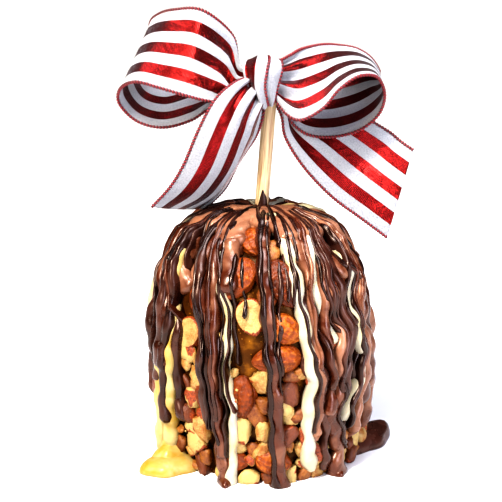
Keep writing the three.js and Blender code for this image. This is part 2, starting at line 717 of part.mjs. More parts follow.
addPart('caramel_apple', coatedApple(nuts, looseNuts, stickHole), CHOCOLATE, 0.35);
addNuts(looseNuts);
addPart('stick', stickGeometry(), WOOD, 0.6);
addPart('ribbon_bow', tiedBow(stickHole), RIBBON_RED, 0.4);

export default apple;
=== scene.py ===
"""Dresses a gourmet caramel apple: caramel, almonds, poured chocolate, a stick and a ribbon bow.

Shapes are worked out in millimetres and turned to metres when a mesh is made. A place on the
apple is given by two numbers, as in the part's source. The bearing is the angle round the axis,
in degrees, 0 towards -Y and growing towards +X. The route runs from 0 at the top of the apple,
over the dome to 1 at its shoulder, and straight down the wall to 2 at the plate.
"""

import logging
import math
from collections.abc import Callable
from dataclasses import dataclass, field, replace
from enum import Enum
from functools import partial
from typing import ClassVar

import bpy
import numpy as np
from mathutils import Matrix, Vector


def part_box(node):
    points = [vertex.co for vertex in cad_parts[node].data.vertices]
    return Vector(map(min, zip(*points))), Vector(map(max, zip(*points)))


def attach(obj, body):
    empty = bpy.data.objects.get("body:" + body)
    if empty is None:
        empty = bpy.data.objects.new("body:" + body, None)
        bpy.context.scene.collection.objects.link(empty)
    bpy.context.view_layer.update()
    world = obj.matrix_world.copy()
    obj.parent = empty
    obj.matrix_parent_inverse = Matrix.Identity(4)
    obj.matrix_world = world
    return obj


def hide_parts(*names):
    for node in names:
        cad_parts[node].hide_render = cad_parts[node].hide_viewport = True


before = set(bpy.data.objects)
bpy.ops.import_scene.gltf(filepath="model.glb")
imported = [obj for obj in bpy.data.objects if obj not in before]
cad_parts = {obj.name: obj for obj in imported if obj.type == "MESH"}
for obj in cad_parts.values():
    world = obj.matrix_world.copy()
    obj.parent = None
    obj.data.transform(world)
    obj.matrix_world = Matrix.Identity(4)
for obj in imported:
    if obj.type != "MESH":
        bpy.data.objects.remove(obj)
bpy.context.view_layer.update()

LOG = logging.getLogger("caramel_apple")
MM = 0.001
PER_METRE = 1000
DEG = math.pi / 180
TURN = 2 * math.pi
BODY = "root"
APPLE = "caramel_apple"
COAT_SLOT = "chocolate_coat"
FLESH_SLOT = "cut_almond"
UV_MAP = "surface_mm"
FIRST_ROUTE = 0.004

Array = np.ndarray


# ---------------------------------------------------------------- numbers and lines


class Draw:
    """A repeatable run of numbers between 0 and 1, by the same rule as the part's source."""

    FACTOR = 16807
    MODULUS = 2147483647

    def __init__(self, seed: int) -> None:
        """Starts the run at a seed."""
        self.state = seed

    def next(self) -> float:
        """The next number of the run."""
        self.state = self.state * self.FACTOR % self.MODULUS
        return self.state / self.MODULUS

    def between(self, low: float, high: float) -> float:
        """The next number, taken between two limits."""
        return low + (high - low) * self.next()


def circle(count: int) -> Array:
    """Even angles round a circle."""
    return np.arange(count) * TURN / count


def unit(vectors: Array) -> Array:
    """Vectors, one a row, brought to length one."""
    return vectors / np.linalg.norm(vectors, axis=-1, keepdims=True)


def way_along(line: Array) -> Array:
    """How far along a line each of its points lies."""
    return np.concatenate([[0], np.cumsum(np.linalg.norm(np.diff(line, axis=0), axis=1))])


def line_through(points: Array, per_span: int) -> Array:
    """Runs a smooth line through points.

    Each span is a cubic whose slope at a point is half the step between that point's two
    neighbours. The line is carried on straight past its ends to give the end slopes.

    Args:
        points: the points, one a row.
        per_span: how many steps each span is cut into.

    Returns:
        The line's points, from the first given one to the last.
    """
    before = 2 * points[:1] - points[1:2]
    after = 2 * points[-1:] - points[-2:-1]
    p = np.concatenate([before, points, after])
    slope = (p[2:] - p[:-2]) / 2
    t = (np.arange(per_span) / per_span)[None, :, None]
    spans = (
        p[1:-2, None] * (2 * t**3 - 3 * t**2 + 1)
        + slope[:-1, None] * (t**3 - 2 * t**2 + t)
        + p[2:-1, None] * (3 * t**2 - 2 * t**3)
        + slope[1:, None] * (t**3 - t**2)
    )
    return np.concatenate([spans.reshape(-1, points.shape[1]), points[-1:]])


def smoothed(values: Array, step: float, reach: float) -> Array:
    """Averages values along a line under a bell curve.

    Args:
        values: evenly spaced values.
        step: their spacing.
        reach: the bell's standard deviation, in the same unit.

    Returns:
        The averaged values, as many as were given.
    """
    side = max(1, int(3 * reach / step))
    bell = np.exp(-0.5 * (np.arange(-side, side + 1) * step / reach) ** 2)
    return np.convolve(np.pad(values, side, mode="edge"), bell / bell.sum(), "valid")


def ripple(points: Array, size: float, seed: int, waves: int = 7) -> Array:
    """A soft unevenness of space: the mean of sine waves in seeded directions.

    Args:
        points: places, one a row.
        size: the usual wavelength.
        seed: the seed of directions, lengths and phases.
        waves: how many waves there are.

    Returns:
        One value for each place, mostly between -0.6 and 0.6.
    """
    rng = np.random.default_rng(seed)
    ways = unit(rng.normal(size=(waves, points.shape[-1])))
    numbers = TURN / (size * rng.uniform(0.6, 1.5, waves))
    phases = rng.uniform(0, TURN, waves)
    return np.sin(points @ (ways * numbers[:, None]).T + phases).mean(axis=-1) * 1.5


# ---------------------------------------------------------------- meshes in the making


@dataclass
class Skin:
    """A surface before it is a mesh: points in millimetres, quads, triangles and their maps."""

    points: Array
    quads: Array
    quad_uv: Array
    fans: Array
    fan_uv: Array
    carried: dict[str, Array] = field(default_factory=dict)

    def faced_out(self) -> "Skin":
        """The skin with its faces turned outwards, by the sign of the volume that it holds."""
        a, b, c, d = (self.points[self.quads[:, i]] for i in range(4))
        volume = np.sum(a * np.cross(b, c)) + np.sum(a * np.cross(c, d))
        a, b, c = (self.points[self.fans[:, i]] for i in range(3))
        if volume + np.sum(a * np.cross(b, c)) >= 0:
            return self
        turned = ("quads", "quad_uv", "fans", "fan_uv")
        return replace(self, **{name: getattr(self, name)[:, ::-1] for name in turned})


def joined(skins: list[Skin]) -> Skin:
    """Puts several skins into one, each keeping its own points."""
    starts = np.cumsum([0] + [len(s.points) for s in skins[:-1]])
    return Skin(
        np.concatenate([s.points for s in skins]),
        np.concatenate([s.quads + k for s, k in zip(skins, starts)]),
        np.concatenate([s.quad_uv for s in skins]),
        np.concatenate([s.fans + k for s, k in zip(skins, starts)]),
        np.concatenate([s.fan_uv for s in skins]),
        {n: np.concatenate([s.carried[n] for s in skins]) for n in skins[0].carried},
    )


def grid_corners(rows: int, columns: int) -> tuple[Array, Array]:
    """Finds the corners of a grid's quads.

    Args:
        rows: how many rows of quads.
        columns: how many columns of quads.

    Returns:
        The row and the column of each quad's four corners, as two arrays of four columns.
    """
    row, column = np.meshgrid(np.arange(rows), np.arange(columns), indexing="ij")
    down = np.stack([row, row, row + 1, row + 1], -1).reshape(-1, 4)
    across = np.stack([column, column + 1, column + 1, column], -1).reshape(-1, 4)
    return down, across


def closed_run(
    rings: Array,
    around: float,
    along: Array | None = None,
    carried: dict[str, float | Array] | None = None,
) -> Skin:
    """Skins a row of closed rings, with a point in the middle of each end, above the plate.

    Args:
        rings: the rings' corners, as rings by corners by three.
        around: the length round a ring, which its map keeps as u.
        along: where each ring lies along the run, kept as v, or nothing for its number.
        carried: values that the mesh will carry, by name, one for all or one for each ring.

    Returns:
        The closed skin, faced outwards.
    """
    count, corners, _ = rings.shape
    along = np.arange(count) * 1.0 if along is None else along
    rings = np.concatenate([rings[..., :2], np.maximum(rings[..., 2:], 0.0)], -1)
    down, across = grid_corners(count - 1, corners)
    u = np.arange(corners + 1) * around / corners
    column = np.arange(corners)
    beside = (column + 1) % corners
    last = (count - 1) * corners
    tip = np.full(corners, count * corners)
    fans = np.r_[tip, tip + 1], np.r_[beside, last + column], np.r_[column, last + beside]
    fan_u = np.stack([u[:-1], u[:-1], u[1:]], -1)
    values = {}
    for name, value in (carried or {}).items():
        each = np.broadcast_to(value, count)
        values[name] = np.concatenate([np.repeat(each, corners), each[:1], each[-1:]])
    return Skin(
        np.concatenate([rings.reshape(-1, 3), rings[:1].mean(axis=1), rings[-1:].mean(axis=1)]),
        down * corners + across % corners,
        np.stack([u[across], along[down]], -1),
        np.stack(fans, -1),
        np.concatenate([np.stack([fan_u, np.full_like(fan_u, v)], -1) for v in along[[0, -1]]]),
        values,
    ).faced_out()


def open_sheet(points: Array, across: Array, along: Array) -> Skin:
    """Skins a grid of points as an open sheet.

    Args:
        points: the grid, as rows by columns by three.
        across: where each column lies across the sheet, kept as u.
        along: where each row lies along it, kept as v.

    Returns:
        The sheet's skin.
    """
    rows, columns, _ = points.shape
    down, side = grid_corners(rows - 1, columns - 1)
    uv = np.stack([across[side], along[down]], -1)
    none = np.zeros((0, 3), int)
    return Skin(points.reshape(-1, 3), down * columns + side, uv, none, np.zeros((0, 3, 2)))


def shown(name: str, data: bpy.types.ID) -> bpy.types.Object:
    """Puts a mesh, a lamp or a camera into the scene as a new object."""
    piece = bpy.data.objects.new(name, data)
    bpy.context.scene.collection.objects.link(piece)
    return piece


def make_piece(
    name: str, skin: Skin, material: bpy.types.Material, slot: str, node: str | None = APPLE
) -> bpy.types.Object:
    """Puts a skin into a mesh object that rides on the apple's one body.

    Args:
        name: the piece's name.
        skin: its surface, in millimetres.
        material: its finish.
        slot: the material slot that it shows; it is not used.
        node: the node that it stands for, if it stands for one.

    Returns:
        The piece.
    """
    mesh = bpy.data.meshes.new(name)
    quads, fans = len(skin.quads), len(skin.fans)
    mesh.vertices.add(len(skin.points))
    mesh.vertices.foreach_set("co", (skin.points * MM).astype(np.float32).ravel())
    corners = np.concatenate([skin.quads.ravel(), skin.fans.ravel()])
    mesh.loops.add(len(corners))
    mesh.loops.foreach_set("vertex_index", corners.astype(np.int32))
    totals = np.repeat([4, 3], [quads, fans])
    mesh.polygons.add(quads + fans)
    mesh.polygons.foreach_set("loop_start", (np.cumsum(totals) - totals).astype(np.int32))
    mesh.polygons.foreach_set("loop_total", totals.astype(np.int32))
    mesh.update(calc_edges=True)
    mesh.polygons.foreach_set("use_smooth", np.ones(quads + fans, bool))
    uv = np.concatenate([skin.quad_uv.reshape(-1, 2), skin.fan_uv.reshape(-1, 2)])
    mesh.uv_layers.new(name=UV_MAP).uv.foreach_set("vector", uv.astype(np.float32).ravel())
    for key, values in skin.carried.items():
        held = mesh.attributes.new(key, "FLOAT", "POINT")
        held.data.foreach_set("value", values.astype(np.float32))
    mesh.materials.append(material)
    mesh.validate()
    piece = shown(name, mesh)
    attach(piece, BODY)
    if node:
        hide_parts(node)
    LOG.info("%s: %d points, %d faces", name, len(mesh.vertices), len(mesh.polygons))
    return piece


# ---------------------------------------------------------------- finishes


def linear(colour: str) -> tuple[float, float, float, float]:
    """Turns an sRGB colour to linear light.

    Args:
        colour: six hex digits.

    Returns:
        Red, green, blue and an alpha of 1.
    """
    parts = [int(colour[i : i + 2], 16) / 255 for i in (0, 2, 4)]
    light = [c / 12.92 if c <= 0.04045 else ((c + 0.055) / 1.055) ** 2.4 for c in parts]
    return (*light, 1.0)


def add_node(
    tree: bpy.types.NodeTree,
    kind: str,
    inputs: dict[str | int, object],
    *,
    stops: tuple[tuple[float, str], ...] = (),
    out: int | str = 0,
    **settings: object,
) -> bpy.types.NodeSocket | None:
    """Adds a node to a material, sets it up and links it.

    Args:
        tree: the material's node tree.
        kind: the node's type, without its ShaderNode prefix.
        inputs: sockets to link, or values for input sockets, by name or place.
        stops: for a colour ramp, its places and hex colours.
        out: which output is wanted.
        settings: the node's own settings.

    Returns:
        That output, or nothing if the node has none.
    """
    node = tree.nodes.new("ShaderNode" + kind)
    for name, value in settings.items():
        setattr(node, name, value)
    for name, value in inputs.items():
        if isinstance(value, bpy.types.NodeSocket):
            tree.links.new(value, node.inputs[name])
        else:
            node.inputs[name].default_value = value
    for i, (place, colour) in enumerate(stops):
        elements = node.color_ramp.elements
        stop = elements[i] if i < len(elements) else elements.new(place)
        stop.position = place
        stop.color = linear(colour)
    return node.outputs[out] if node.outputs else None


Adder = Callable[..., bpy.types.NodeSocket]


@dataclass(frozen=True)
class Finish:
    """A finish, which says in looks what the inputs of its one principled shader are."""

    name: str

    def looks(self, add: Adder) -> dict[str, object]:
        """The shader's inputs. Each kind of finish has its own; add puts in a node."""
        raise NotImplementedError

    def material(self) -> bpy.types.Material:
        """Builds the finish."""
        material = bpy.data.materials.new(self.name)
        material.use_nodes = True
        tree = material.node_tree
        tree.nodes.clear()
        shader = add_node(tree, "BsdfPrincipled", self.looks(partial(add_node, tree)))
        add_node(tree, "OutputMaterial", {"Surface": shader})
        return material


@dataclass(frozen=True)
class SetChocolate(Finish):
    """Tempered chocolate, poured warm and left to set.

    The eye sees a soft gloss, slow swirls of lighter and darker chocolate, and a skin that is
    not quite even. The piece carries a tint, from 0 for shade to 1 for light, for each strand.
    """

    shade: str
    body: str
    light: str
    roughness: float
    glow: float
    shine: float
    gleam: str = "ffe6d8"
    swirl_mm: float = 7.0
    dimple_mm: float = 3.0
    swing: float = 0.18
    roughness_swing: float = 0.06

    def looks(self, add: Adder) -> dict[str, object]:
        """The shader's inputs."""
        place = add("TexCoord", {}, out="Object")
        swirls = {"Scale": PER_METRE / self.swirl_mm, "Detail": 3.0, "Distortion": 0.6}
        swirl = add("TexNoise", {"Vector": place, **swirls})
        swirl = {"Value": swirl, "From Min": 0.3, "From Max": 0.7}
        tint = add("Attribute", {}, out="Fac", attribute_name="tint")
        swing = add("MapRange", {**swirl, "To Min": -self.swing, "To Max": self.swing})
        level = add("Math", {0: tint, 1: swing}, operation="ADD", use_clamp=True)
        stops = ((0.0, self.shade), (1.0, self.light), (0.5, self.body))
        smooth, rough = self.roughness - self.roughness_swing, self.roughness + self.roughness_swing
        dimples = {"Scale": PER_METRE / self.dimple_mm, "Detail": 2.0}
        dimple = add("TexNoise", {"Vector": place, **dimples})
        return {
            "Base Color": add("ValToRGB", {"Fac": level}, stops=stops),
            "Roughness": add("MapRange", {**swirl, "To Min": smooth, "To Max": rough}),
            "Normal": add("Bump", {"Height": dimple, "Strength": 0.2, "Distance": 0.25 * MM}),
            "IOR": 1.48,
            "Specular IOR Level": self.shine,
            "Specular Tint": linear(self.gleam),
            "Subsurface Weight": self.glow,
            "Subsurface Radius": (2.0, 1.0, 0.6),
            "Subsurface Scale": 1.0 * MM,
        }


@dataclass(frozen=True)
class CookedCaramel(Finish):
    """Caramel cooked hard: a dark amber glaze with small bubbles caught under its skin."""

    name: str = "cooked_caramel"
    deep: str = "180802"
    amber: str = "4a2808"
    bright: str = "a06a1e"
    gleam: str = "ffc98a"
    cloud_mm: float = 9.0
    bubble_mm: float = 1.5

    def looks(self, add: Adder) -> dict[str, object]:
        """The shader's inputs."""
        place = add("TexCoord", {}, out="Object")
        clouds = {"Scale": PER_METRE / self.cloud_mm, "Detail": 4.0}
        cloud = add("TexNoise", {"Vector": place, **clouds})
        bubbles = {"Scale": PER_METRE / self.bubble_mm, "Randomness": 1.0}
        bubble = add("TexVoronoi", {"Vector": place, **bubbles})
        near = {"From Min": 0.1, "From Max": 0.24, "To Min": 1.0, "To Max": 0.0}
        bead = add("MapRange", {"Value": bubble, **near})
        level = add("Math", {0: bead, 1: 0.25, 2: cloud}, operation="MULTIPLY_ADD")
        stops = ((0.3, self.deep), (0.8, self.bright), (0.56, self.amber))
        return {
            "Base Color": add("ValToRGB", {"Fac": level}, stops=stops),
            "Roughness": 0.26,
            "Normal": add("Bump", {"Height": bead, "Strength": 0.5, "Distance": 0.3 * MM}),
            "IOR": 1.49,
            "Specular IOR Level": 0.25,
            "Specular Tint": linear(self.gleam),
        }


@dataclass(frozen=True)
class AlmondSkin(Finish):
    """Roasted almond skin: dry, papery, reddish brown, wrinkled from the tip to the round end.

    The wrinkles follow the nut's own map, in millimetres round it and along it. The piece
    carries a roast, from 0 for dark to 1 for bright.
    """

    name: str = "roasted_almond_skin"
    dark: str = "381203"
    brown: str = "783606"
    bright: str = "cb7e2a"
    wrinkle_mm: float = 1.2
    wrinkle_length_mm: float = 5.0
    pebble_mm: float = 1.5

    def looks(self, add: Adder) -> dict[str, object]:
        """The shader's inputs."""
        surface = add("UVMap", {}, uv_map=UV_MAP)
        scale = (1 / self.wrinkle_mm, 1 / self.wrinkle_length_mm, 1.0)
        stretched = add("Mapping", {"Vector": surface, "Scale": scale})
        wrinkles = {"Scale": 1.0, "Detail": 4.0, "Roughness": 0.62, "Distortion": 0.5}
        wrinkle = add("TexNoise", {"Vector": stretched, **wrinkles})
        roast = add("Attribute", {}, out="Fac", attribute_name="roast")
        level = add("Math", {0: wrinkle, 1: 0.9, 2: roast}, operation="MULTIPLY_ADD")
        pebbles = {"Scale": 1 / self.pebble_mm, "Smoothness": 0.5}
        pebble = add("TexVoronoi", {"Vector": surface, **pebbles}, feature="SMOOTH_F1")
        sunk = add("Math", {0: pebble, 1: -0.25, 2: level}, operation="MULTIPLY_ADD")
        centred = add("Math", {0: sunk, 1: 0.4}, operation="SUBTRACT")
        stops = ((0.12, self.dark), (1.0, self.bright), (0.55, self.brown))
        height = add("Math", {0: pebble, 1: -0.7, 2: wrinkle}, operation="MULTIPLY_ADD")
        return {
            "Base Color": add("ValToRGB", {"Fac": centred}, stops=stops),
            "Roughness": 0.4,
            "Normal": add("Bump", {"Height": height, "Strength": 0.9, "Distance": 0.8 * MM}),
            "IOR": 1.46,
            "Specular IOR Level": 0.3,
        }


@dataclass(frozen=True)
class CutAlmond(Finish):
    """The inside of an almond, cut or broken: pale, oily, slightly grained, toasted at its edges.

    The piece carries a skin, 1 where the brown skin is still on it, and a roast.
    """

    name: str = "cut_almond"
    cream: str = "ac9159"
    gold: str = "885318"
    toast: str = "5c2a08"
    skin_dark: str = "4f1c08"
    skin_light: str = "a84f1a"
    grain_mm: float = 0.7
    patch_mm: float = 5.0

    def looks(self, add: Adder) -> dict[str, object]:
        """The shader's inputs."""
        place = add("TexCoord", {}, out="Object")
        patch, grain = (
            add("TexNoise", {"Vector": place, "Scale": PER_METRE / size, "Detail": 3.0})
            for size in (self.patch_mm, self.grain_mm)
        )
        roast, skin = (
            add("Attribute", {}, out="Fac", attribute_name=name) for name in ("roast", "skin")
        )
        level = add("Math", {0: patch, 1: roast}, operation="ADD")
        grained = add("Math", {0: grain, 1: 0.5, 2: level}, operation="MULTIPLY_ADD")
        centred = add("Math", {0: grained, 1: 0.75}, operation="SUBTRACT")
        inner = ((0.3, self.cream), (0.95, self.toast), (0.62, self.gold))
        flesh = add("ValToRGB", {"Fac": centred}, stops=inner)
        outer = ((0.3, self.skin_dark), (0.75, self.skin_light))
        husk = add("ValToRGB", {"Fac": grain}, stops=outer)
        ends = {"From Min": 0.4, "From Max": 0.6, "To Min": 0.0, "To Max": 1.0}
        edge = add("MapRange", {"Value": skin, **ends})
        return {
            "Base Color": add("MixRGB", {"Fac": edge, "Color1": flesh, "Color2": husk}),
            "Roughness": 0.5,
            "Normal": add("Bump", {"Height": grain, "Strength": 0.8, "Distance": 0.4 * MM}),
            "IOR": 1.46,
            "Subsurface Weight": 0.1,
            "Subsurface Radius": (1.5, 1.0, 0.5),
            "Subsurface Scale": 1.0 * MM,
        }


@dataclass(frozen=True)
class TurnedBirch(Finish):
    """Birch turned to a rod and left bare: pale yellow, with fine darker lines along it."""

    name: str = "turned_birch"
    pale: str = "c2ab84"
    line: str = "8c6a46"
    grain_mm: float = 0.7
    grain_length_mm: float = 22.0

    def looks(self, add: Adder) -> dict[str, object]:
        """The shader's inputs."""
        scale = (1 / self.grain_mm, 1 / self.grain_length_mm, 1.0)
        stretched = add("Mapping", {"Vector": add("UVMap", {}, uv_map=UV_MAP), "Scale": scale})
        lines = {"Scale": 1.0, "Detail": 5.0, "Roughness": 0.6}
        grain = add("TexNoise", {"Vector": stretched, **lines})
        return {
            "Base Color": add(
                "ValToRGB", {"Fac": grain}, stops=((0.35, self.line), (0.6, self.pale))
            ),
            "Roughness": 0.5,
            "Normal": add("Bump", {"Height": grain, "Strength": 0.3, "Distance": 0.1 * MM}),
            "IOR": 1.5,
        }


@dataclass(frozen=True)
class StripedSatin(Finish):
    """Woven ribbon: matt white bands of taffeta between red bands of shiny satin, lengthwise.

    Its map is in millimetres, across the ribbon and along it. The threads are drawn at about
    twice their real size, because real ones are too fine to show. Light comes through the white.
    """

    name: str = "striped_satin"
    width_mm: float = 38.0
    bands: int = 7
    white: str = "9c9d9f"
    grey: str = "7c7d80"
    red: str = "7c1210"
    maroon: str = "3c0405"
    thread_mm: float = 0.55
    rib_mm: float = 0.6
    fray_per_mm: float = 1.6
    crinkle_mm: float = 8.0
    metal: float = 0.88

    def looks(self, add: Adder) -> dict[str, object]:
        """The shader's inputs."""
        surface = add("UVMap", {}, uv_map=UV_MAP)
        x, y = (add("SeparateXYZ", {0: surface}, out=name) for name in "XY")
        band = add("Math", {0: x, 1: self.bands / self.width_mm}, operation="MULTIPLY")
        number = add("Math", {0: band}, operation="FLOOR")
        is_red = add("Math", {0: number, 1: 2.0}, operation="MODULO")
        turns = (
            add("Math", {0: way, 1: TURN / size}, operation="MULTIPLY")
            for way, size in ((x, self.thread_mm), (y, self.rib_mm))
        )
        warp, weft = (add("Math", {0: turn}, operation="SINE") for turn in turns)
        weave = add("Math", {0: warp, 1: weft}, operation="MULTIPLY")
        worn = {"Scale": self.fray_per_mm, "Detail": 4.0, "Roughness": 0.7}
        fray = add("TexNoise", {"Vector": surface, **worn})
        white, red = (
            add("ValToRGB", {"Fac": fray}, stops=((0.3, low), (0.6, high)))
            for low, high in ((self.grey, self.white), (self.maroon, self.red))
        )
        height = add("MixRGB", {"Fac": is_red, "Color1": weave, "Color2": weft})
        folds = {"Scale": 1 / self.crinkle_mm, "Detail": 2.0, "Distortion": 0.8}
        crinkle = add("TexNoise", {"Vector": surface, **folds})
        soft = add("Bump", {"Height": crinkle, "Strength": 0.5, "Distance": 1.4 * MM})
        fine = {"Height": height, "Strength": 0.5, "Distance": 0.12 * MM}
        return {
            "Base Color": add("MixRGB", {"Fac": is_red, "Color1": white, "Color2": red}),
            "Roughness": add("MapRange", {"Value": is_red, "To Min": 0.75, "To Max": 0.27}),
            "Metallic": add("Math", {0: is_red, 1: self.metal}, operation="MULTIPLY"),
            "Normal": add("Bump", {**fine, "Normal": soft}),
            "IOR": 1.5,
            "Sheen Weight": 0.15,
            "Sheen Roughness": 0.4,
            "Subsurface Weight": add("MapRange", {"Value": is_red, "To Min": 1.0, "To Max": 0.0}),
            "Subsurface Radius": (1.0, 1.0, 1.0),
            "Subsurface Scale": 1.2 * MM,
        }


@dataclass(frozen=True)
class OverlockThread(Finish):
    """Red thread sewn over the ribbon's edge wire: short slanting stitches with shade between."""

    name: str = "overlock_thread"
    bright: str = "7e1019"
    dark: str = "3e060c"
    stitch_mm: float = 1.4

    def looks(self, add: Adder) -> dict[str, object]:
        """The shader's inputs."""
        surface = add("UVMap", {}, uv_map=UV_MAP)
        x, y = (add("SeparateXYZ", {0: surface}, out=name) for name in "XY")
        slant = add("Math", {0: x, 1: 0.5, 2: y}, operation="MULTIPLY_ADD")
        turns = add("Math", {0: slant, 1: TURN / self.stitch_mm}, operation="MULTIPLY")
        wave = add("Math", {0: turns}, operation="SINE")
        return {
            "Base Color": add(
                "ValToRGB", {"Fac": wave}, stops=((0.1, self.dark), (0.6, self.bright))
            ),
            "Roughness": 0.45,
            "Normal": add("Bump", {"Height": wave, "Strength": 0.6, "Distance": 0.15 * MM}),
            "IOR": 1.5,
        }


@dataclass(frozen=True)
class PaintedBoard(Finish):
    """Board painted a plain matt white, the floor of the stage."""

    name: str = "pale_floor"
    colour: str = "ebebec"

    def looks(self, add: Adder) -> dict[str, object]:
        """The shader's inputs."""
        return {"Base Color": linear(self.colour), "Roughness": 0.7}


MILK = SetChocolate("milk_chocolate", "1b0702", "461d0b", "8e634a", 0.28, 0.02, 0.58)
DARK = SetChocolate("dark_chocolate", "090100", "1d0702", "4a2a20", 0.28, 0.0, 0.48)
WHITE = SetChocolate("white_chocolate", "9c7a1c", "ae9f72", "aaa492", 0.34, 0.1, 0.3)
FLESH = CutAlmond()
THREAD = OverlockThread()


# ---------------------------------------------------------------- the apple's form


def inclination(route: Array) -> Array:
    """How far a place's ray leans from the axis, in radians."""
    return np.minimum(route, 1) * math.pi / 2


@dataclass(frozen=True)
class AppleForm:
    """The caramel's outer form, a squared dome on a wall, and how places on it turn to points.

    All its methods take bearings in degrees and routes, of shapes that go together.
    """

    shoulder: float = 60.0
    radius: float = 45.0
    rise: float = 45.0
    squareness: float = 2.5
    foot_taper: float = 2.5
    swells: tuple[float, float] = (0.6, 0.5)
    pile: float = 3.0
    pile_spread: float = 0.22

    def core(self, bearing: Array, route: Array) -> Array:
        """How far the caramel reaches along a place's ray, in millimetres.

        On the dome it is a superellipse of the radius and the rise. Below the shoulder the wall
        tapers inwards with the square of the way down. Slow swells go round both.

        Args:
            bearing: bearings in degrees.
            route: routes.

        Returns:
            The reach at each place.
        """
        b, lean = bearing * DEG, inclination(route)
        wide, narrow = self.swells
        swell = wide * np.sin(3 * b + 0.8) + narrow * np.sin(5 * b + 4 * route)
        sideways = np.abs(np.sin(lean) / self.radius) ** self.squareness
        upwards = np.abs(np.cos(lean) / self.rise) ** self.squareness
        dome = (sideways + upwards) ** (-1 / self.squareness) + swell * np.sin(lean)
        wall = self.radius + swell - self.foot_taper * (route - 1) ** 2
        return np.where(route > 1, wall, dome)

    def piled(self, bearing: Array, route: Array) -> Array:
        """The caramel's reach with the chocolate heaped round the stick on it."""
        return self.core(bearing, route) + self.pile * np.exp(-((route / self.pile_spread) ** 2))

    def axes(self, bearing: Array, route: Array) -> tuple[Array, ...]:
        """The rays' origins and directions, and the ways across and down the surface there."""
        b, lean = bearing * DEG, inclination(route)
        zero = np.zeros_like(b + lean)
        height = self.shoulder * np.minimum(1, 2 - route) + zero
        origin = np.stack([zero, zero, height], -1)
        level = np.sin(lean)
        direction = np.stack([np.sin(b) * level, -np.cos(b) * level, np.cos(lean) + zero], -1)
        across = np.stack([np.cos(b) + zero, np.sin(b) + zero, zero], -1)
        return origin, direction, across, np.cross(across, direction)

    def point(self, bearing: Array, route: Array, reach: Array) -> Array:
        """The points at these places and reaches."""
        origin, direction, _, _ = self.axes(bearing, route)
        return origin + direction * reach[..., None]

    def per_degree(self, route: Array, reach: Array) -> Array:
        """Millimetres along the surface for a degree of bearing."""
        return np.maximum(reach * np.sin(inclination(route)), 1.0) * DEG

    def per_route(self, route: Array, reach: Array) -> Array:
        """Millimetres along the surface for one unit of route."""
        return np.where(route > 1, self.shoulder, reach * math.pi / 2)


FORM = AppleForm()


class Ground:
    """The relief of the apple so far: how far out it reaches on a grid of routes and bearings."""

    ROWS = 481
    COLUMNS = 1440
    MARGIN = 1.3
    LEAST_LEVEL = 0.2

    def __init__(self) -> None:
        """Starts with the caramel and the pile at the stick."""
        self.routes = np.linspace(0, 2, self.ROWS)
        self.bearings = np.arange(self.COLUMNS) * 360 / self.COLUMNS - 180
        self.reach = FORM.piled(self.bearings[None, :], self.routes[:, None])

    def at(self, bearing: Array, route: Array) -> Array:
        """Reads the relief, straight between its grid's points in both ways.

        Args:
            bearing: bearings in degrees.
            route: routes, of the same shape.

        Returns:
            The reach at each place.
        """
        row = np.clip(route, 0, 2) * (self.ROWS - 1) / 2
        column = ((bearing + 180) % 360) * self.COLUMNS / 360
        top = np.minimum(row.astype(int), self.ROWS - 2)
        left = column.astype(int) % self.COLUMNS
        right = (left + 1) % self.COLUMNS
        down, side = row - top, column - np.floor(column)
        upper, lower = (
            self.reach[row, left] * (1 - side) + self.reach[row, right] * side
            for row in (top, top + 1)
        )
        return upper * (1 - down) + lower * down

    def press_in(self, nut: "Nut") -> None:
        """Raises the relief where a nut stands out, taking it as an ellipsoid.

        A ray leaves the ellipsoid where the square of its offset, in the nut's half sizes,
        comes to one for the second time.

        Args:
            nut: the nut.
        """
        span = self.MARGIN * max(nut.half) / FORM.radius / DEG
        level = max(math.sin(inclination(nut.route)), self.LEAST_LEVEL)
        middle = int((nut.bearing + 180) * self.COLUMNS / 360)
        side = int(min(span / level, 90) * self.COLUMNS / 360)
        columns = np.arange(middle - side, middle + side + 1) % self.COLUMNS
        rows = np.flatnonzero(np.abs(self.routes - nut.route) < span / FORM.shoulder)
        origin, direction, _, _ = FORM.axes(self.bearings[None, columns], self.routes[rows, None])
        offset = (origin - nut.centre) @ nut.axes.T / nut.half
        slope = direction @ nut.axes.T / nut.half
        a = np.sum(slope * slope, -1)
        b = np.sum(offset * slope, -1)
        under = b * b - a * (np.sum(offset * offset, -1) - 1)
        out = np.where(under > 0, (-b + np.sqrt(np.maximum(under, 0))) / a, 0)
        window = np.ix_(rows, columns)
        self.reach[window] = np.maximum(self.reach[window], out)


# ---------------------------------------------------------------- nuts


class NutKind(Enum):
    """What a nut is: a whole almond, a half with its cut face outwards, or a chopped chunk."""

    WHOLE = "almond"
    HALF = "half"
    CHIP = "chip"


@dataclass(frozen=True)
class Nut:
    """A nut on the caramel: its kind, its place, its sizes and the turn of its point.

    The turn is counted from straight down towards growing bearing, in degrees.
    """

    kind: NutKind
    bearing: float
    route: float
    length: float
    width: float
    thickness: float
    turn: float

    RISE = 0.06

    @property
    def half(self) -> Array:
        """Half the length, the width and the thickness."""
        return np.array([self.length, self.width, self.thickness]) / 2

    @property
    def centre(self) -> Array:
        """Its middle, which lies just over the caramel by a share of its thickness."""
        place = np.array(self.bearing), np.array(self.route)
        return FORM.point(*place, FORM.core(*place) + self.RISE * self.thickness)

    @property
    def axes(self) -> Array:
        """The ways its point, its breadth and its face look, one a row."""
        _, direction, across, down = FORM.axes(np.array(self.bearing), np.array(self.route))
        point = down * math.cos(self.turn * DEG) + across * math.sin(self.turn * DEG)
        return np.stack([point, np.cross(direction, point), direction])


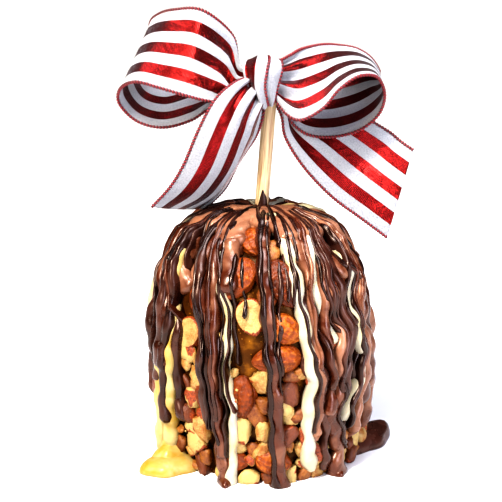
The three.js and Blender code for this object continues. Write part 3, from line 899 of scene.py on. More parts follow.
# The nuts of the front, as in the part's source: bearing, route, length, width, thickness and
# turn of each.
FRONT_NUTS = {
    NutKind.WHOLE: (
        (-8, 0.37, 15, 11, 9, 20), (-16, 0.61, 21, 14, 9, -30), (11, 0.63, 22, 14, 9, 20),
        (12, 0.88, 16, 12, 9.5, 60), (7, 1.07, 21, 13, 9, -85), (-11, 1.36, 20, 12, 9, 0),
        (6, 1.83, 16, 12, 8, 75), (-17, 1.84, 15, 11, 8, 85), (-35, 0.74, 19, 12, 9, 10),
        (-31, 1.38, 19, 11, 8, 5), (43, 0.67, 18, 12, 9, -15), (68, 1.41, 20, 13, 9, 10),
        (-80, 0.96, 20, 13, 9, 5), (-82, 1.52, 20, 13, 9, -20), (30, 1.52, 19, 12, 8, 30),
    ),
    NutKind.HALF: (
        (-6, 0.81, 16, 12, 7, 15), (31, 1.23, 15, 13, 7, 30), (50, 0.89, 14, 11, 7, 0),
        (-43, 0.96, 16, 12, 7, -30),
    ),
    NutKind.CHIP: (
        (6, 0.44, 10, 9, 7, 0), (-20, 0.42, 9, 6, 6, 30), (1, 1.24, 13, 11, 8, 30),
        (14, 1.33, 14, 10, 8, 20), (1, 1.42, 10, 8, 7, 10), (-11, 1.6, 12, 9, 8, 10),
        (1, 1.6, 11, 8, 8, 0), (13, 1.64, 12, 8, 8, -30), (-32, 1.12, 10, 9, 7, 0),
        (-41, 1.42, 12, 8, 7, 0), (-41, 1.74, 12, 10, 7, 60), (-58, 1.46, 11, 8, 7, -10),
        (63, 0.64, 10, 8, 7, 0), (66, 0.88, 11, 8, 7, 15), (46, 1.36, 11, 9, 7, 20),
        (62, 1.72, 11, 9, 7, 40), (30, 1.8, 11, 8, 7, 20), (-66, 0.62, 10, 8, 7, 0),
    ),
}


@dataclass(frozen=True)
class BackNuts:
    """The nuts of the sides and back: rows round the apple, spaced by the room there is.

    Each kind comes with the upper end of its share of the draws, and its usual sizes. The nuts
    of rows below the lowest route lie on their sides.
    """

    seed: int = 4127
    first: float = 92.0
    last: float = 262.0
    routes: tuple[float, ...] = (0.40, 0.64, 0.88, 1.11, 1.34, 1.58, 1.81)
    lowest: float = 1.7
    pitch: float = 25.0
    wander: float = 0.035
    kinds: tuple[tuple[NutKind, float, float, float, float], ...] = (
        (NutKind.WHOLE, 0.36, 21, 12.5, 8.5),
        (NutKind.HALF, 0.5, 16, 11.5, 7),
        (NutKind.CHIP, 1.0, 11.5, 9, 7.5),
    )

    def all(self) -> list[Nut]:
        """The nuts of every row, by the same draws as the part's source."""
        draw, nuts = Draw(self.seed), []
        for row in self.routes:
            girth = float(FORM.core(np.array(180.0), np.array(row))) * math.sin(inclination(row))
            count = math.floor((self.last - self.first) * DEG * girth / self.pitch + 0.5)
            low = row > self.lowest
            for i in range(count):
                step = (self.last - self.first) / count
                bearing = self.first + (i + draw.between(0.3, 0.7)) * step
                route = row if low else row + draw.between(-self.wander, self.wander)
                pick = draw.next()
                kind, _, long, wide, thick = next(k for k in self.kinds if pick < k[1])
                size = draw.between(0.9, 1.1)
                turn = draw.between(60, 110) if low else draw.between(-70, 70)
                nuts.append(Nut(kind, bearing, route, long * size, wide * size, thick, turn))
        return nuts


def ball_grid(rows: int, columns: int) -> Array:
    """Directions over a ball, in rings from one pole towards the other, without the poles."""
    lean = (np.arange(1, rows) * math.pi / rows)[:, None]
    turn = circle(columns)[None, :]
    level = np.sin(lean)
    return np.stack([np.cos(lean) + 0 * turn, level * np.cos(turn), level * np.sin(turn)], -1)


def nut_skin(
    rings: Array,
    around: float,
    roast: float,
    husk: Array,
    tips: float = 0.0,
    along: Array | None = None,
) -> Skin:
    """Skins a nut or a piece of one.

    Args:
        rings: its rings of corners.
        around: the length round it.
        roast: how bright it is roasted, from 0 to 1.
        husk: 1 at each corner that still has the brown skin.
        tips: the same for its two ends.
        along: where each ring lies along it.

    Returns:
        Its closed skin, which carries the roast and the brown skin.
    """
    skin = closed_run(rings, around, along, {"roast": roast})
    carried = {**skin.carried, "skin": np.concatenate([husk.ravel(), [tips, tips]])}
    return replace(skin, carried=carried)


@dataclass(frozen=True)
class Almonds:
    """The whole and halved almonds, each the smooth form of its own solid."""

    bands: int = 30
    sides: int = 36
    half_face: float = 0.45
    face_wave: float = 0.05
    face_edge: float = 0.97
    bend: float = 0.06
    wrinkles: int = 9
    wrinkle_depth: float = 0.022
    roast: tuple[float, float] = (0.3, 0.75)
    first_seed: int = 50
    match_mm: float = 1.5

    def skin(self, nut: Nut, seed: int) -> Skin:
        """An almond, round at one end and pointed at the other.

        Its girth along its length t, from -1 to 1, is (1 - t) to the power 0.66 times (1 + t)
        to the power 0.5, with shallow wrinkles from end to end. A half is cut flat.

        Args:
            nut: the almond.
            seed: the seed of its wrinkles.

        Returns:
            Its closed skin.
        """
        rng = np.random.default_rng(seed)
        t = -np.cos(math.pi * np.arange(1, self.bands) / self.bands)
        angle = circle(self.sides)
        lines = sum(
            np.sin(
                (k + 3) * angle[None, :]
                + rng.uniform(0, 6)
                + 1.2 * np.sin(2 * t[:, None] + rng.uniform(0, 6))
            )
            for k in range(self.wrinkles)
        )
        girth = ((1 - t) ** 0.66 * (1 + t) ** 0.5)[:, None] * (1 + self.wrinkle_depth * lines)
        bend = self.bend * (1 - t**2) * rng.uniform(-1, 1)
        breadth = girth * np.cos(angle) + bend[:, None]
        rise = girth * np.sin(angle)
        husk = np.ones(rise.shape)
        if nut.kind is NutKind.HALF:
            face = self.half_face + self.face_wave * np.sin(3 * breadth) * girth
            husk = (rise < face * self.face_edge).astype(float)
            rise = np.minimum(rise, face)
        local = np.stack([t[:, None] + 0 * girth, breadth, rise], -1) * nut.half
        rings = nut.centre + local @ nut.axes
        long, wide, _ = nut.half
        return nut_skin(rings, math.pi * wide, rng.uniform(*self.roast), husk, 1.0, t * long)

    def matched(self, nuts: list[Nut]) -> list[tuple[str, Nut]]:
        """Pairs each loose almond of the frame with the nut that lies where it is.

        Args:
            nuts: the laid-out nuts.

        Returns:
            Pairs of node name and nut.
        """
        loose = [n for n in nuts if n.kind is not NutKind.CHIP]
        centres = np.array([n.centre for n in loose])
        pairs = []
        for name in sorted(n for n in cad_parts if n.startswith("almond")):
            low, high = (np.array(corner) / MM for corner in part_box(name))
            gap = np.linalg.norm(centres - (low + high) / 2, axis=1)
            best = int(np.argmin(gap))
            if gap[best] > self.match_mm:
                LOG.warning("%s lies %.1f mm from the nearest nut", name, gap[best])
            pairs.append((name, loose[best]))
        return pairs

    def build(self, nuts: list[Nut]) -> list[Nut]:
        """Makes every almond of the frame.

        Args:
            nuts: the laid-out nuts.

        Returns:
            The almonds that are there.
        """
        whole = AlmondSkin().material(), "almond_skin"
        half = FLESH.material(), FLESH_SLOT
        pairs = self.matched(nuts)
        for i, (name, nut) in enumerate(pairs):
            look = half if nut.kind is NutKind.HALF else whole
            make_piece(f"{name}_nut", self.skin(nut, self.first_seed + i), *look, name)
        return [nut for _, nut in pairs]


@dataclass(frozen=True)
class ChoppedNuts:
    """The chopped almonds: the chunks of the solid, smaller bits between them, and crumbs.

    Bits lie in rows a pitch apart, where the relief leaves them room. On the dome they lie only
    between the two bearings of its open top, or below its route. Bare places, given as the
    bearings and the routes that they lie between, have none.
    """

    chunk_grid: tuple[int, int] = (12, 16)
    chunk_seed: int = 9
    roast: tuple[float, float] = (0.1, 1.1)
    tilt: float = 0.3
    roughness: float = 0.045
    sharpness: int = 22
    most_reach: float = 1.15
    bit_grid: tuple[int, int] = (9, 13)
    bit_seed: int = 61
    bit_pitch: float = 7.6
    bit_rows: tuple[float, float] = (0.4, 2.0)
    bit_girth_at: float = 46.0
    bit_sizes: tuple[float, float, float] = (9.6, 7.0, 5.4)
    bit_scale: tuple[float, float] = (0.7, 1.25)
    bit_stretch: tuple[float, float] = (0.8, 1.25)
    route_mm: float = 68.0
    room: float = 2.2
    jitter: float = 0.3
    route_jitter: float = 0.03
    route_limits: tuple[float, float] = (0.2, 1.955)
    upper_share: float = 0.4
    open_top: tuple[float, float, float] = (-28, 18, 0.8)
    bare: tuple[tuple[float, float, float, float], ...] = (
        (-15, 0, 0.97, 1.25),
        (-43, -33, 0.44, 0.72),
    )
    crumb_grid: tuple[int, int] = (4, 6)
    crumb_seed: int = 77
    crumb_count: int = 60
    crumb_radius: tuple[float, float] = (0.5, 1.3)
    crumb_sizes: tuple[float, float, float] = (2, 1.6, 1.4)
    crumb_roast: tuple[float, float] = (0.0, 0.7)
    crumb_rise: float = 0.1

    def chunk(self, ball: Array, rng: np.random.Generator) -> tuple[Array, Array]:
        """A broken piece: a ball cut by flat faces, with its edges a little rounded.

        Its reach in a direction is the sum of the faces' cosines over their distances, each to
        the power of the sharpness, to the power minus one over it. One face may keep its skin.

        Args:
            ball: directions over a ball.
            rng: the run that draws the faces.

        Returns:
            The reach in each direction, and 1 where the skin is.
        """
        box = np.concatenate([np.eye(3), -np.eye(3)])
        faces = [box + rng.normal(scale=self.tilt, size=(6, 3)), rng.normal(size=(4, 3))]
        distance = np.concatenate([rng.uniform(0.6, 1.0, 6), rng.uniform(0.7, 1.05, 4)])
        share = np.maximum(ball @ unit(np.concatenate(faces)).T, 0) / distance
        reach = np.sum(share**self.sharpness, -1) ** (-1 / self.sharpness)
        husk = (np.argmax(share, -1) == rng.integers(0, 7)).astype(float)
        return np.minimum(reach, self.most_reach), husk

    def placed(self, nut: Nut, ball: Array, rng: np.random.Generator) -> Skin:
        """A chunk with a nut's place and sizes."""
        reach, husk = self.chunk(ball, rng)
        reach = reach * (1 + rng.normal(scale=self.roughness, size=reach.shape))
        rings = nut.centre + (ball * reach[..., None] * nut.half) @ nut.axes
        return nut_skin(rings, nut.width, rng.uniform(*self.roast), husk)

    def chunks(self, nuts: list[Nut]) -> Skin:
        """The chunks that are fused to the apple's solid."""
        rng = np.random.default_rng(self.chunk_seed)
        ball = ball_grid(*self.chunk_grid)
        return joined([self.placed(n, ball, rng) for n in nuts if n.kind is NutKind.CHIP])

    def bits(self, ground: Ground) -> Skin:
        """Smaller bits wherever the caramel still has room, in staggered rows.

        Args:
            ground: the relief, which the bits are pressed into.

        Returns:
            The bits' skin.
        """
        rng = np.random.default_rng(self.bit_seed)
        ball = ball_grid(*self.bit_grid)
        skins = []
        for row in np.arange(*self.bit_rows, self.bit_pitch / self.route_mm):
            girth = float(FORM.per_degree(np.array(row), np.array(self.bit_girth_at)))
            count = int(360 * girth / self.bit_pitch)
            jitter = rng.uniform(-self.jitter, self.jitter, count)
            places = np.arange(count) + jitter + 0.5 * rng.random()
            bearings = places * 360 / count - 180
            jitter = rng.uniform(-self.route_jitter, self.route_jitter, count)
            routes = np.clip(row + jitter, *self.route_limits)
            free = ground.at(bearings, routes) - FORM.core(bearings, routes) < self.room
            left, right, below = self.open_top
            is_open = (bearings > left) & (bearings < right) | (routes > below)
            share = np.where(routes < 1, np.where(is_open, self.upper_share, 0.0), 1.0)
            free &= rng.random(count) < share
            for left, right, top, foot in self.bare:
                free &= (bearings < left) | (bearings > right) | (routes < top) | (routes > foot)
            for bearing, route in zip(bearings[free].tolist(), routes[free].tolist()):
                size = rng.uniform(*self.bit_scale)
                sizes = rng.uniform(*self.bit_stretch, 3) * size * np.array(self.bit_sizes)
                turn = rng.uniform(-90, 90)
                bit = Nut(NutKind.CHIP, bearing, route, *sizes.tolist(), turn)
                skins.append(self.placed(bit, ball, rng))
                ground.press_in(bit)
        return joined(skins)

    def crumbs(self, ground: Ground) -> Skin:
        """Crumbs of a millimetre or two, scattered over everything that is laid so far.

        Args:
            ground: the relief that they lie on.

        Returns:
            The crumbs' skin.
        """
        rng = np.random.default_rng(self.crumb_seed)
        ball = ball_grid(*self.crumb_grid)
        skins = []
        for _ in range(self.crumb_count):
            bearing, route = rng.uniform(-180, 180), rng.triangular(0.8, 1.9, 1.97)
            place = np.array(bearing), np.array(route)
            size = rng.uniform(*self.crumb_radius)
            sizes = (size * s for s in self.crumb_sizes)
            crumb = Nut(NutKind.CHIP, bearing, route, *sizes, rng.uniform(-90, 90))
            reach, husk = self.chunk(ball, rng)
            out = float(ground.at(*place)) + self.crumb_rise * size
            centre = FORM.point(*place, np.array(out))
            rings = centre + (ball * reach[..., None] * crumb.half) @ crumb.axes
            skins.append(nut_skin(rings, size, rng.uniform(*self.crumb_roast), husk))
        return joined(skins)

    def build(self, nuts: list[Nut], ground: Ground) -> None:
        """Makes the chunks, the bits and the crumbs."""
        flesh = FLESH.material()
        make_piece("nut_chunks", self.chunks(nuts), flesh, FLESH_SLOT)
        make_piece("nut_bits", self.bits(ground), flesh, FLESH_SLOT)
        make_piece("nut_crumbs", self.crumbs(ground), flesh, FLESH_SLOT, None)


# ---------------------------------------------------------------- poured chocolate


class Chocolate(Enum):
    """Which chocolate a strand is poured from, in the order that they are poured."""

    DARK = "dark"
    MILK = "milk"
    WHITE = "white"


@dataclass(frozen=True)
class Strand:
    """A strand of poured chocolate: its width, the places it runs over, its tint, and its rise.

    The fullness is how far it rises, as a share of its width.
    """

    chocolate: Chocolate
    width: float
    places: tuple[tuple[float, float], ...]
    tint: float = 0.5
    fullness: float = 0.52

    THICK = 2.9

    @property
    def is_thick(self) -> bool:
        """Whether it is one of those that the fine strands run over."""
        return self.width > self.THICK


# The thick strands of the front, as in the part's source: chocolate, width, then bearing and
# route in turn. Those that end at 2 stand on the plate.
THICK_STRANDS = (
    ("dark", 4.5, -100, 0.1, -92, 0.45, -80, 0.68, -76, 1.07, -74, 1.3),
    ("milk", 5.5, -85, 0.12, -78, 0.5, -67, 0.81, -62, 1.1, -59, 1.3),
    ("dark", 3.6, -72, 0.12, -66, 0.5, -50, 0.92, -50, 1.24, -47, 1.62),
    ("white", 5.5, -66, 0.4, -55, 0.78, -54, 1.26, -57, 1.6, -60, 2.0),
    ("milk", 6.0, -74, 0.1, -65, 0.4, -56, 0.63, -47, 0.72),
    ("milk", 4.5, -66, 0.1, -56, 0.36, -43, 0.51, -38, 0.68),
    ("milk", 4.2, -56, 0.1, -46, 0.34, -37, 0.6, -29, 0.86, -26, 1.21, -24, 1.6, -20, 2.0),
    ("dark", 3.2, -48, 0.1, -38, 0.36, -29, 0.6, -25, 0.86, -23, 1.1, -21, 1.5, -17, 1.8),
    ("white", 3.0, -34, 0.42, -24, 0.64, -18, 0.84, -19, 1.12, -15, 1.45, -16, 2.0),
    ("milk", 5.0, 6, 0.08, 0, 0.37, 1, 0.62, 3, 0.9, 6, 1.3, 8, 1.8, 9, 2.0),
    ("white", 4.5, 12, 0.12, 16, 0.36, 18, 0.57, 20, 0.82, 25, 1.21, 23, 1.55, 26, 1.94),
    ("milk", 5.5, 26, 0.08, 25, 0.3, 24, 0.54),
    ("dark", 3.6, 40, 0.1, 27, 0.43, 24, 0.71, 22, 0.9, 23, 1.2),
    ("dark", 3.2, 44, 0.14, 30, 0.52, 28, 0.8, 30, 1.15, 33, 1.6, 36, 1.96),
    ("white", 4.0, 38, 0.34, 30, 0.57, 32, 0.76, 36, 1.0),
    ("milk", 4.6, 60, 0.1, 45, 0.4, 50, 0.6, 60, 0.73, 52, 0.92),
    ("milk", 4.6, 52, 0.12, 39, 0.46, 38, 0.72, 42, 0.92, 40, 1.35),
    ("white", 4.2, 66, 0.42, 52, 0.71, 51, 0.9, 58, 1.2, 50, 1.42, 46, 1.62),
    ("dark", 3.6, 72, 0.14, 60, 0.6, 55, 0.94, 54, 1.3, 50, 1.68),
    ("dark", 4.6, 86, 0.12, 80, 0.6, 76, 1.0, 65, 1.22, 68, 1.62),
    ("milk", 5.6, 40, 1.3, 37, 1.54, 43, 1.8, 43, 2.0),
    ("milk", 4.4, 80, 0.2, 70, 0.62, 66, 0.92, 72, 1.3, 76, 1.8),
)

# Broad thin sheets that ran together round the top, under the strands.
SHEETS = (
    ("milk", 8.0, -112, 0.1, -104, 0.45, -97, 0.75, -95, 1.15),
    ("milk", 8.0, -95, 0.08, -84, 0.4, -74, 0.62, -72, 0.8),
    ("dark", 5.0, -88, 0.1, -70, 0.45, -58, 0.66, -56, 0.9),
    ("milk", 8.0, -72, 0.06, -54, 0.3, -46, 0.5, -43, 0.66),
    ("milk", 9.0, -44, 0.06, -34, 0.25, -30, 0.45, -28, 0.62),
    ("milk", 8.0, 18, 0.05, 20, 0.22, 23, 0.38),
    ("milk", 8.0, 36, 0.06, 34, 0.28, 34, 0.46, 34, 0.6),
    ("milk", 8.0, 56, 0.06, 50, 0.3, 46, 0.48, 47, 0.62),
    ("dark", 6.0, 70, 0.08, 62, 0.36, 57, 0.55, 57, 0.78),
    ("milk", 8.0, 82, 0.08, 73, 0.36, 68, 0.58, 66, 0.84),
    ("dark", 6.0, 95, 0.1, 86, 0.42, 80, 0.7, 78, 1.0),
    ("milk", 7.0, 108, 0.1, 98, 0.42, 92, 0.72, 90, 1.1),
)

# Strands of scene.py alone, over and beside the thick ones: broad tongues round the top first,
# then fine lines, and a second white strand at the left foot.
THIN_STRANDS = (
    ("milk", 6.5, -30, 0.03, -16, 0.12, -9, 0.21, -6, 0.29),
    ("milk", 6.0, 20, 0.02, 6, 0.12, 0, 0.2, 3, 0.3),
    ("milk", 7.0, 40, 0.04, 26, 0.15, 21, 0.27, 22, 0.42),
    ("milk", 6.0, -70, 0.03, -52, 0.14, -42, 0.26, -38, 0.38),
    ("milk", 6.0, 75, 0.04, 60, 0.16, 52, 0.28, 48, 0.42),
    ("milk", 7.0, -98, 0.04, -90, 0.18, -81, 0.34, -77, 0.5),
    ("milk", 7.0, 98, 0.04, 86, 0.18, 75, 0.34, 70, 0.5),
    ("milk", 7.0, -50, 0.03, -40, 0.14, -31, 0.28, -28, 0.44),
    ("milk", 6.5, 60, 0.03, 46, 0.14, 38, 0.27, 37, 0.42),
    ("dark", 1.6, -18, 0.03, -10, 0.14, -3, 0.26, -2, 0.34),
    ("dark", 1.6, 30, 0.04, 16, 0.16, 12, 0.28, 12, 0.44),
    ("dark", 1.8, 52, 0.05, 38, 0.18, 31, 0.32, 29, 0.48),
    ("dark", 1.8, -46, 0.04, -38, 0.16, -30, 0.28, -26, 0.42),
    ("milk", 9.0, -60, 0.08, -38, 0.22, -27, 0.35, -21, 0.44),
    ("milk", 5.5, -30, 0.34, -24, 0.42, -21, 0.5, -19, 0.6, -17, 0.7),
    ("dark", 1.5, -17, 0.49, -16, 0.6, -15, 0.82, -12, 1.13),
    ("dark", 1.2, -14, 0.48, -11, 0.62, -9, 0.82),
    ("dark", 1.5, 10, 0.5, 9, 0.7, 8, 0.89, 9, 1.19),
    ("dark", 1.1, 13, 0.48, 13, 0.74),
    ("dark", 1.1, 17, 0.46, 16, 0.76),
    ("dark", 3.4, -58, 0.12, -46, 0.42, -36, 0.64, -32, 0.9, -30, 1.3, -28, 1.62),
    ("milk", 3.2, -42, 0.16, -33, 0.42, -26.5, 0.72, -24.5, 1.0, -23, 1.4, -20, 1.8),
    ("dark", 1.3, -44, 0.15, -34, 0.48, -29, 0.7, -27, 1.0, -25, 1.35, -22, 1.7),
    ("dark", 1.2, -36, 0.2, -26, 0.5, -22, 0.75, -20.5, 1.05, -19, 1.4, -18, 1.8),
    ("white", 5.0, -58, 1.14, -60, 1.45, -63, 1.75, -66, 2.0),
    ("milk", 4.8, -70, 0.34, -58, 0.74, -56.5, 0.98, -56, 1.22),
    ("dark", 2.4, -66, 0.34, -53, 0.74, -52.5, 1.0, -54.5, 1.3, -56.5, 1.66),
    ("milk", 3.4, -86, 0.34, -74, 0.62, -69, 0.9, -67, 1.2, -68, 1.62),
    ("dark", 3.2, -64, 0.45, -59, 0.7, -57, 1.0, -60, 1.34),
    ("milk", 3.6, 72, 0.3, 64, 0.58, 60, 0.82, 62, 1.05, 60, 1.4, 56, 1.8),
    ("dark", 3.4, 50, 0.2, 43, 0.48, 44, 0.7, 47, 0.92, 46, 1.2, 43, 1.45),
    ("milk", 3.4, 34, 0.52, 34, 0.7, 33, 0.95, 36, 1.2, 33, 1.5),
    ("milk", 3.0, 22, 0.3, 26, 0.6, 26, 0.9, 28, 1.3, 27, 1.7),
    ("dark", 1.9, 2, 0.14, -2, 0.37, -1, 0.62, 1, 0.92, 3, 1.2, 4, 1.6, 6, 1.98),
    ("dark", 1.2, 22, 0.2, 17, 0.52, 21, 0.86, 26, 1.2, 25, 1.62),
    ("milk", 2.6, 29, 0.9, 34, 1.1, 35, 1.32),
    ("dark", 2.0, 42, 0.36, 38, 0.5, 38, 0.8, 43, 0.95, 40, 1.35),
    ("dark", 1.8, 64, 0.34, 56, 0.62, 53, 0.9, 55, 1.2, 49, 1.48, 51, 1.7),
    ("milk", 2.8, -106, 0.18, -96, 0.52, -88, 0.86, -86, 1.2, -88, 1.6),
)


@dataclass(frozen=True)
class BackStrands:
    """The strands of the sides and back, each from the stick down to a foot of its own.

    Each chocolate comes with the upper end of its share of the draws, and its usual width.
    """

    seed: int = 907
    count: int = 13
    first: float = 88.0
    last: float = 266.0
    top: float = 0.1
    places: int = 6
    to_the_plate: float = 0.3
    chocolates: tuple[tuple[Chocolate, float, float], ...] = (
        (Chocolate.MILK, 0.42, 4.2),
        (Chocolate.DARK, 0.78, 3.4),
        (Chocolate.WHITE, 1.0, 4.6),
    )

    def all(self) -> list[Strand]:
        """The strands, by the same draws as the part's source."""
        draw = Draw(self.seed)
        step = (self.last - self.first) / self.count
        strands = []
        for i in range(self.count):
            bearing = self.first + (i + draw.between(0.2, 0.8)) * step
            pick = draw.next()
            chocolate, _, usual = next(c for c in self.chocolates if pick < c[1])
            width = usual * draw.between(0.85, 1.25)
            foot = 2.0 if draw.next() < self.to_the_plate else draw.between(1.15, 1.9)
            run = []
            for row in range(self.places):
                along = row / (self.places - 1)
                sway = draw.between(-2.5, 2.5) + 8 * math.sin(2.4 * along) - 4
                run.append((bearing + sway, self.top + (foot - self.top) * along))
            strands.append(Strand(chocolate, width, tuple(run)))
        return strands


@dataclass(frozen=True)
class Companions:
    """Fine strands that run down the edges of the thick ones, or beside them, a few for each.

    The spread gives the least and the most that they lie to the side, as shares of the width.
    """

    spread: tuple[float, float]
    sway: float
    each: tuple[int, int]
    width: tuple[float, float]

    def of(self, strand: Strand, rng: np.random.Generator) -> list[Strand]:
        """The fine strands of one thick strand: dark ones, or milk ones on a dark strand.

        Args:
            strand: the thick strand.
            rng: the run that draws them.

        Returns:
            The fine strands.
        """
        fine = []
        least, most = (0, 1) if strand.chocolate is Chocolate.WHITE else self.each
        for _ in range(rng.integers(least, most, endpoint=True)):
            side = rng.choice([-1, 1]) * rng.uniform(*self.spread) * strand.width
            last = max(3, int(len(strand.places) * rng.uniform(0.55, 1.01)))
            places = tuple(
                (
                    bearing + side + rng.uniform(-self.sway, self.sway),
                    max(0.17, route + rng.uniform(-0.02, 0.02)),
                )
                for bearing, route in strand.places[:last]
            )
            chocolate = Chocolate.MILK if strand.chocolate is Chocolate.DARK else Chocolate.DARK
            fine.append(Strand(chocolate, rng.uniform(*self.width), places))
        return fine


RIDING = Companions((0.35, 0.65), 0.4, (1, 2), (0.9, 1.4))
BESIDE = Companions((0.2, 1.1), 1.6, (1, 3), (1.1, 2.3))


class Pour:
    """Lays strands one after another, each on the relief that those before it have left."""

    STEP = 0.95
    SPREAD = 1.22
    MOST_LIFT = 2.5
    MOST_HANG = 2.5
    HANG_SLOPE = 5.0
    ON_PLATE = 1.97
    HEAP = (1.4, 8.0)
    HEAP_ROUTES = (0.1, 0.7)
    OVER_CORE = 4
    FLANK = 4.0
    ROOT = 2.2
    TUCK = 0.8
    SQUARENESS = 0.85
    CORNERS = {True: 11, False: 8}
    PER_SPAN = 24
    SMOOTH = 1.2
    HIGHEST = {True: 0.6, False: 0.95}
    FULLEST = 1.15
    SWELLS = ((0.15, 19), (0.09, 8.3))
    WOBBLE = (0.3, 0.75)
    WOBBLE_FROM = (15.0, 45.0)
    WOBBLE_MM = (13, 21, 9)
    TINT_SWING = 0.12
    TINT_MM = 31
    WIDEST = 80

    def __init__(self, ground: Ground) -> None:
        """Starts on a relief that has its nuts already."""
        self.ground = ground
        self.skins: dict[Chocolate, list[Skin]] = {kind: [] for kind in Chocolate}
        self.rng = np.random.default_rng(2024)

    def waves(self, along: Array, length: float) -> Array:
        """A sine wave of a length along a strand, with a phase of its own."""
        return np.sin(TURN * along / length + self.rng.uniform(0, 6))

    def run(self, strand: Strand) -> tuple[Array, Array, Array]:
        """The middle line of a strand, in even steps.

        On the wall it wanders from side to side in waves that neighbouring strands share, and
        that are wider on the right.

        Args:
            strand: the strand.

        Returns:
            Bearing, route and the way along, in millimetres, at each step.
        """
        line = line_through(np.array(strand.places, float), self.PER_SPAN)
        bearing, route = line[:, 0], line[:, 1] + np.arange(len(line)) * 1e-5
        route = np.minimum(np.maximum.accumulate(route), 2)
        reach = FORM.core(bearing, route) + self.OVER_CORE
        sideways = np.diff(bearing) * FORM.per_degree(route, reach)[1:]
        down = np.diff(route) * FORM.per_route(route, reach)[1:]
        along = np.concatenate([[0], np.cumsum(np.hypot(sideways, down))])
        even = np.linspace(0, along[-1], max(6, int(along[-1] / self.STEP)))
        bearing, route = np.interp(even, along, bearing), np.interp(even, along, route)
        down = route * FORM.shoulder
        short, long, own = self.WOBBLE_MM
        shared = np.sin(TURN * down / short + bearing / 8)
        shared = shared + 0.7 * np.sin(TURN * down / long - bearing / 13)
        size = np.interp(bearing, self.WOBBLE_FROM, self.WOBBLE)
        size = size * np.clip((route - 0.35) / 0.3, 0, 1)
        sideways = size * (shared + 0.2 * self.waves(even, own))
        degree = FORM.per_degree(route, FORM.core(bearing, route))
        return bearing + sideways / degree, route, even

    def body(self, strand: Strand, stands: bool, along: Array) -> Array:
        """How full a strand is along its way.

        It narrows to its start, swells a little in slow waves and before its end, and ends in
        a round drop. On the plate it spreads instead.

        Args:
            strand: the strand.
            stands: whether it ends on the plate.
            along: the way along at each step.

        Returns:
            The share of the full width at each step.
        """
        left = along[-1] - along
        waves = sum(size * self.waves(along, length) for size, length in self.SWELLS)
        start = np.sqrt(np.clip(0.15 + along / (1.5 * strand.width), 0, 1))
        if stands:
            return start * (1 + waves + 0.35 * np.exp(-((left / 2.5) ** 2)))
        tip = strand.width * 0.55
        end = np.sqrt(np.clip(1 - (1 - np.minimum(left / tip, 1)) ** 2, 0.002, 1))
        drop = 0.22 * np.exp(-(((left - 1.1 * strand.width) / strand.width) ** 2))
        return start * end * (1 + waves + drop)

    def crown(
        self, strand: Strand, way: tuple[Array, ...], under: Array, lift: Array
    ) -> Array:
        """How far out the strand's crown reaches.

        The crown follows the relief beneath, smoothed along the strand, and below the shoulder
        it falls back only slowly. Over the strand's last widths it comes down to the relief, so
        that it ends in a round drop. Near the stick, where all the strands run together, there
        is a most that it can reach.

        Args:
            strand: the strand.
            way: its bearing, its route and the way along, at each step.
            under: the relief beneath it, in seven places across.
            lift: how far it rises over the relief.

        Returns:
            The reach at each step.
        """
        bearing, route, along = way
        step = along[1] - along[0]
        highest, mean = under[:, 1:-1].max(axis=1), under[:, 1:-1].mean(axis=1)
        share = self.HIGHEST[strand.is_thick]
        crown = share * highest + (1 - share) * mean
        hung = np.maximum.accumulate(crown + self.HANG_SLOPE * route) - self.HANG_SLOPE * route
        hung = np.maximum(crown, np.minimum(hung, crown + self.MOST_HANG))
        crown = smoothed(np.where(route > 1, hung, crown), step, 0.6 * strand.width + 0.8)
        crown = smoothed(np.maximum(crown, under[:, 3] - 0.3 * lift), step, self.SMOOTH) + lift
        left = np.clip((along[-1] - along) / (2 * strand.width), 0, 1)
        fade = 1.0 if route[-1] > self.ON_PLATE else left * left * (3 - 2 * left)
        low = smoothed(mean, step, 1.0) + lift
        crown = low + (crown - low) * fade
        most = FORM.piled(bearing, route) + np.interp(route, self.HEAP_ROUTES, self.HEAP)
        crown = np.minimum(crown, most + lift)
        if strand.is_thick:
            return crown
        return np.maximum(crown, smoothed(highest, step, 0.8) + 0.4 * lift)

    def lay(self, strand: Strand) -> None:
        """Lays a strand: makes its skin and raises the relief under later ones.

        A section of the strand is an arch. Its feet stand on the relief at its two sides, but
        no deeper than a flank below its crown, and between them it rises nearly as the square
        root of one minus the square of the way from the middle.

        Args:
            strand: the strand.
        """
        bearing, route, along = self.run(strand)
        body = self.body(strand, route[-1] > self.ON_PLATE, along)
        half = 0.5 * self.SPREAD * strand.width * body
        lift = min(strand.fullness * strand.width, self.MOST_LIFT)
        lift = lift * np.minimum(body, self.FULLEST)
        reach = FORM.core(bearing, route) + self.OVER_CORE
        degree, mm = FORM.per_degree(route, reach), FORM.per_route(route, reach)
        sideways, down = np.gradient(bearing) * degree, np.gradient(route) * mm
        length = np.maximum(np.hypot(sideways, down), 1e-6)
        normal = np.stack([down / length / degree, -sideways / length / mm], -1)

        def at(side: Array) -> tuple[Array, Array]:
            """Bearing and route at shares of the half width to the side."""
            off = side * half[:, None]
            routes = np.clip(route[:, None] + off * normal[:, 1:], 0, 2)
            return bearing[:, None] + off * normal[:, :1], routes

        under = self.ground.at(*at(np.linspace(-1, 1, 7)[None, :]))
        crown = self.crown(strand, (bearing, route, along), under, lift)
        high = crown[:, None]
        foot = np.clip(under[:, [0, -1]], high - self.FLANK, high - 0.5 * lift[:, None])
        step = along[1] - along[0]
        foot = np.stack([smoothed(side, step, self.SMOOTH) for side in foot.T], -1)

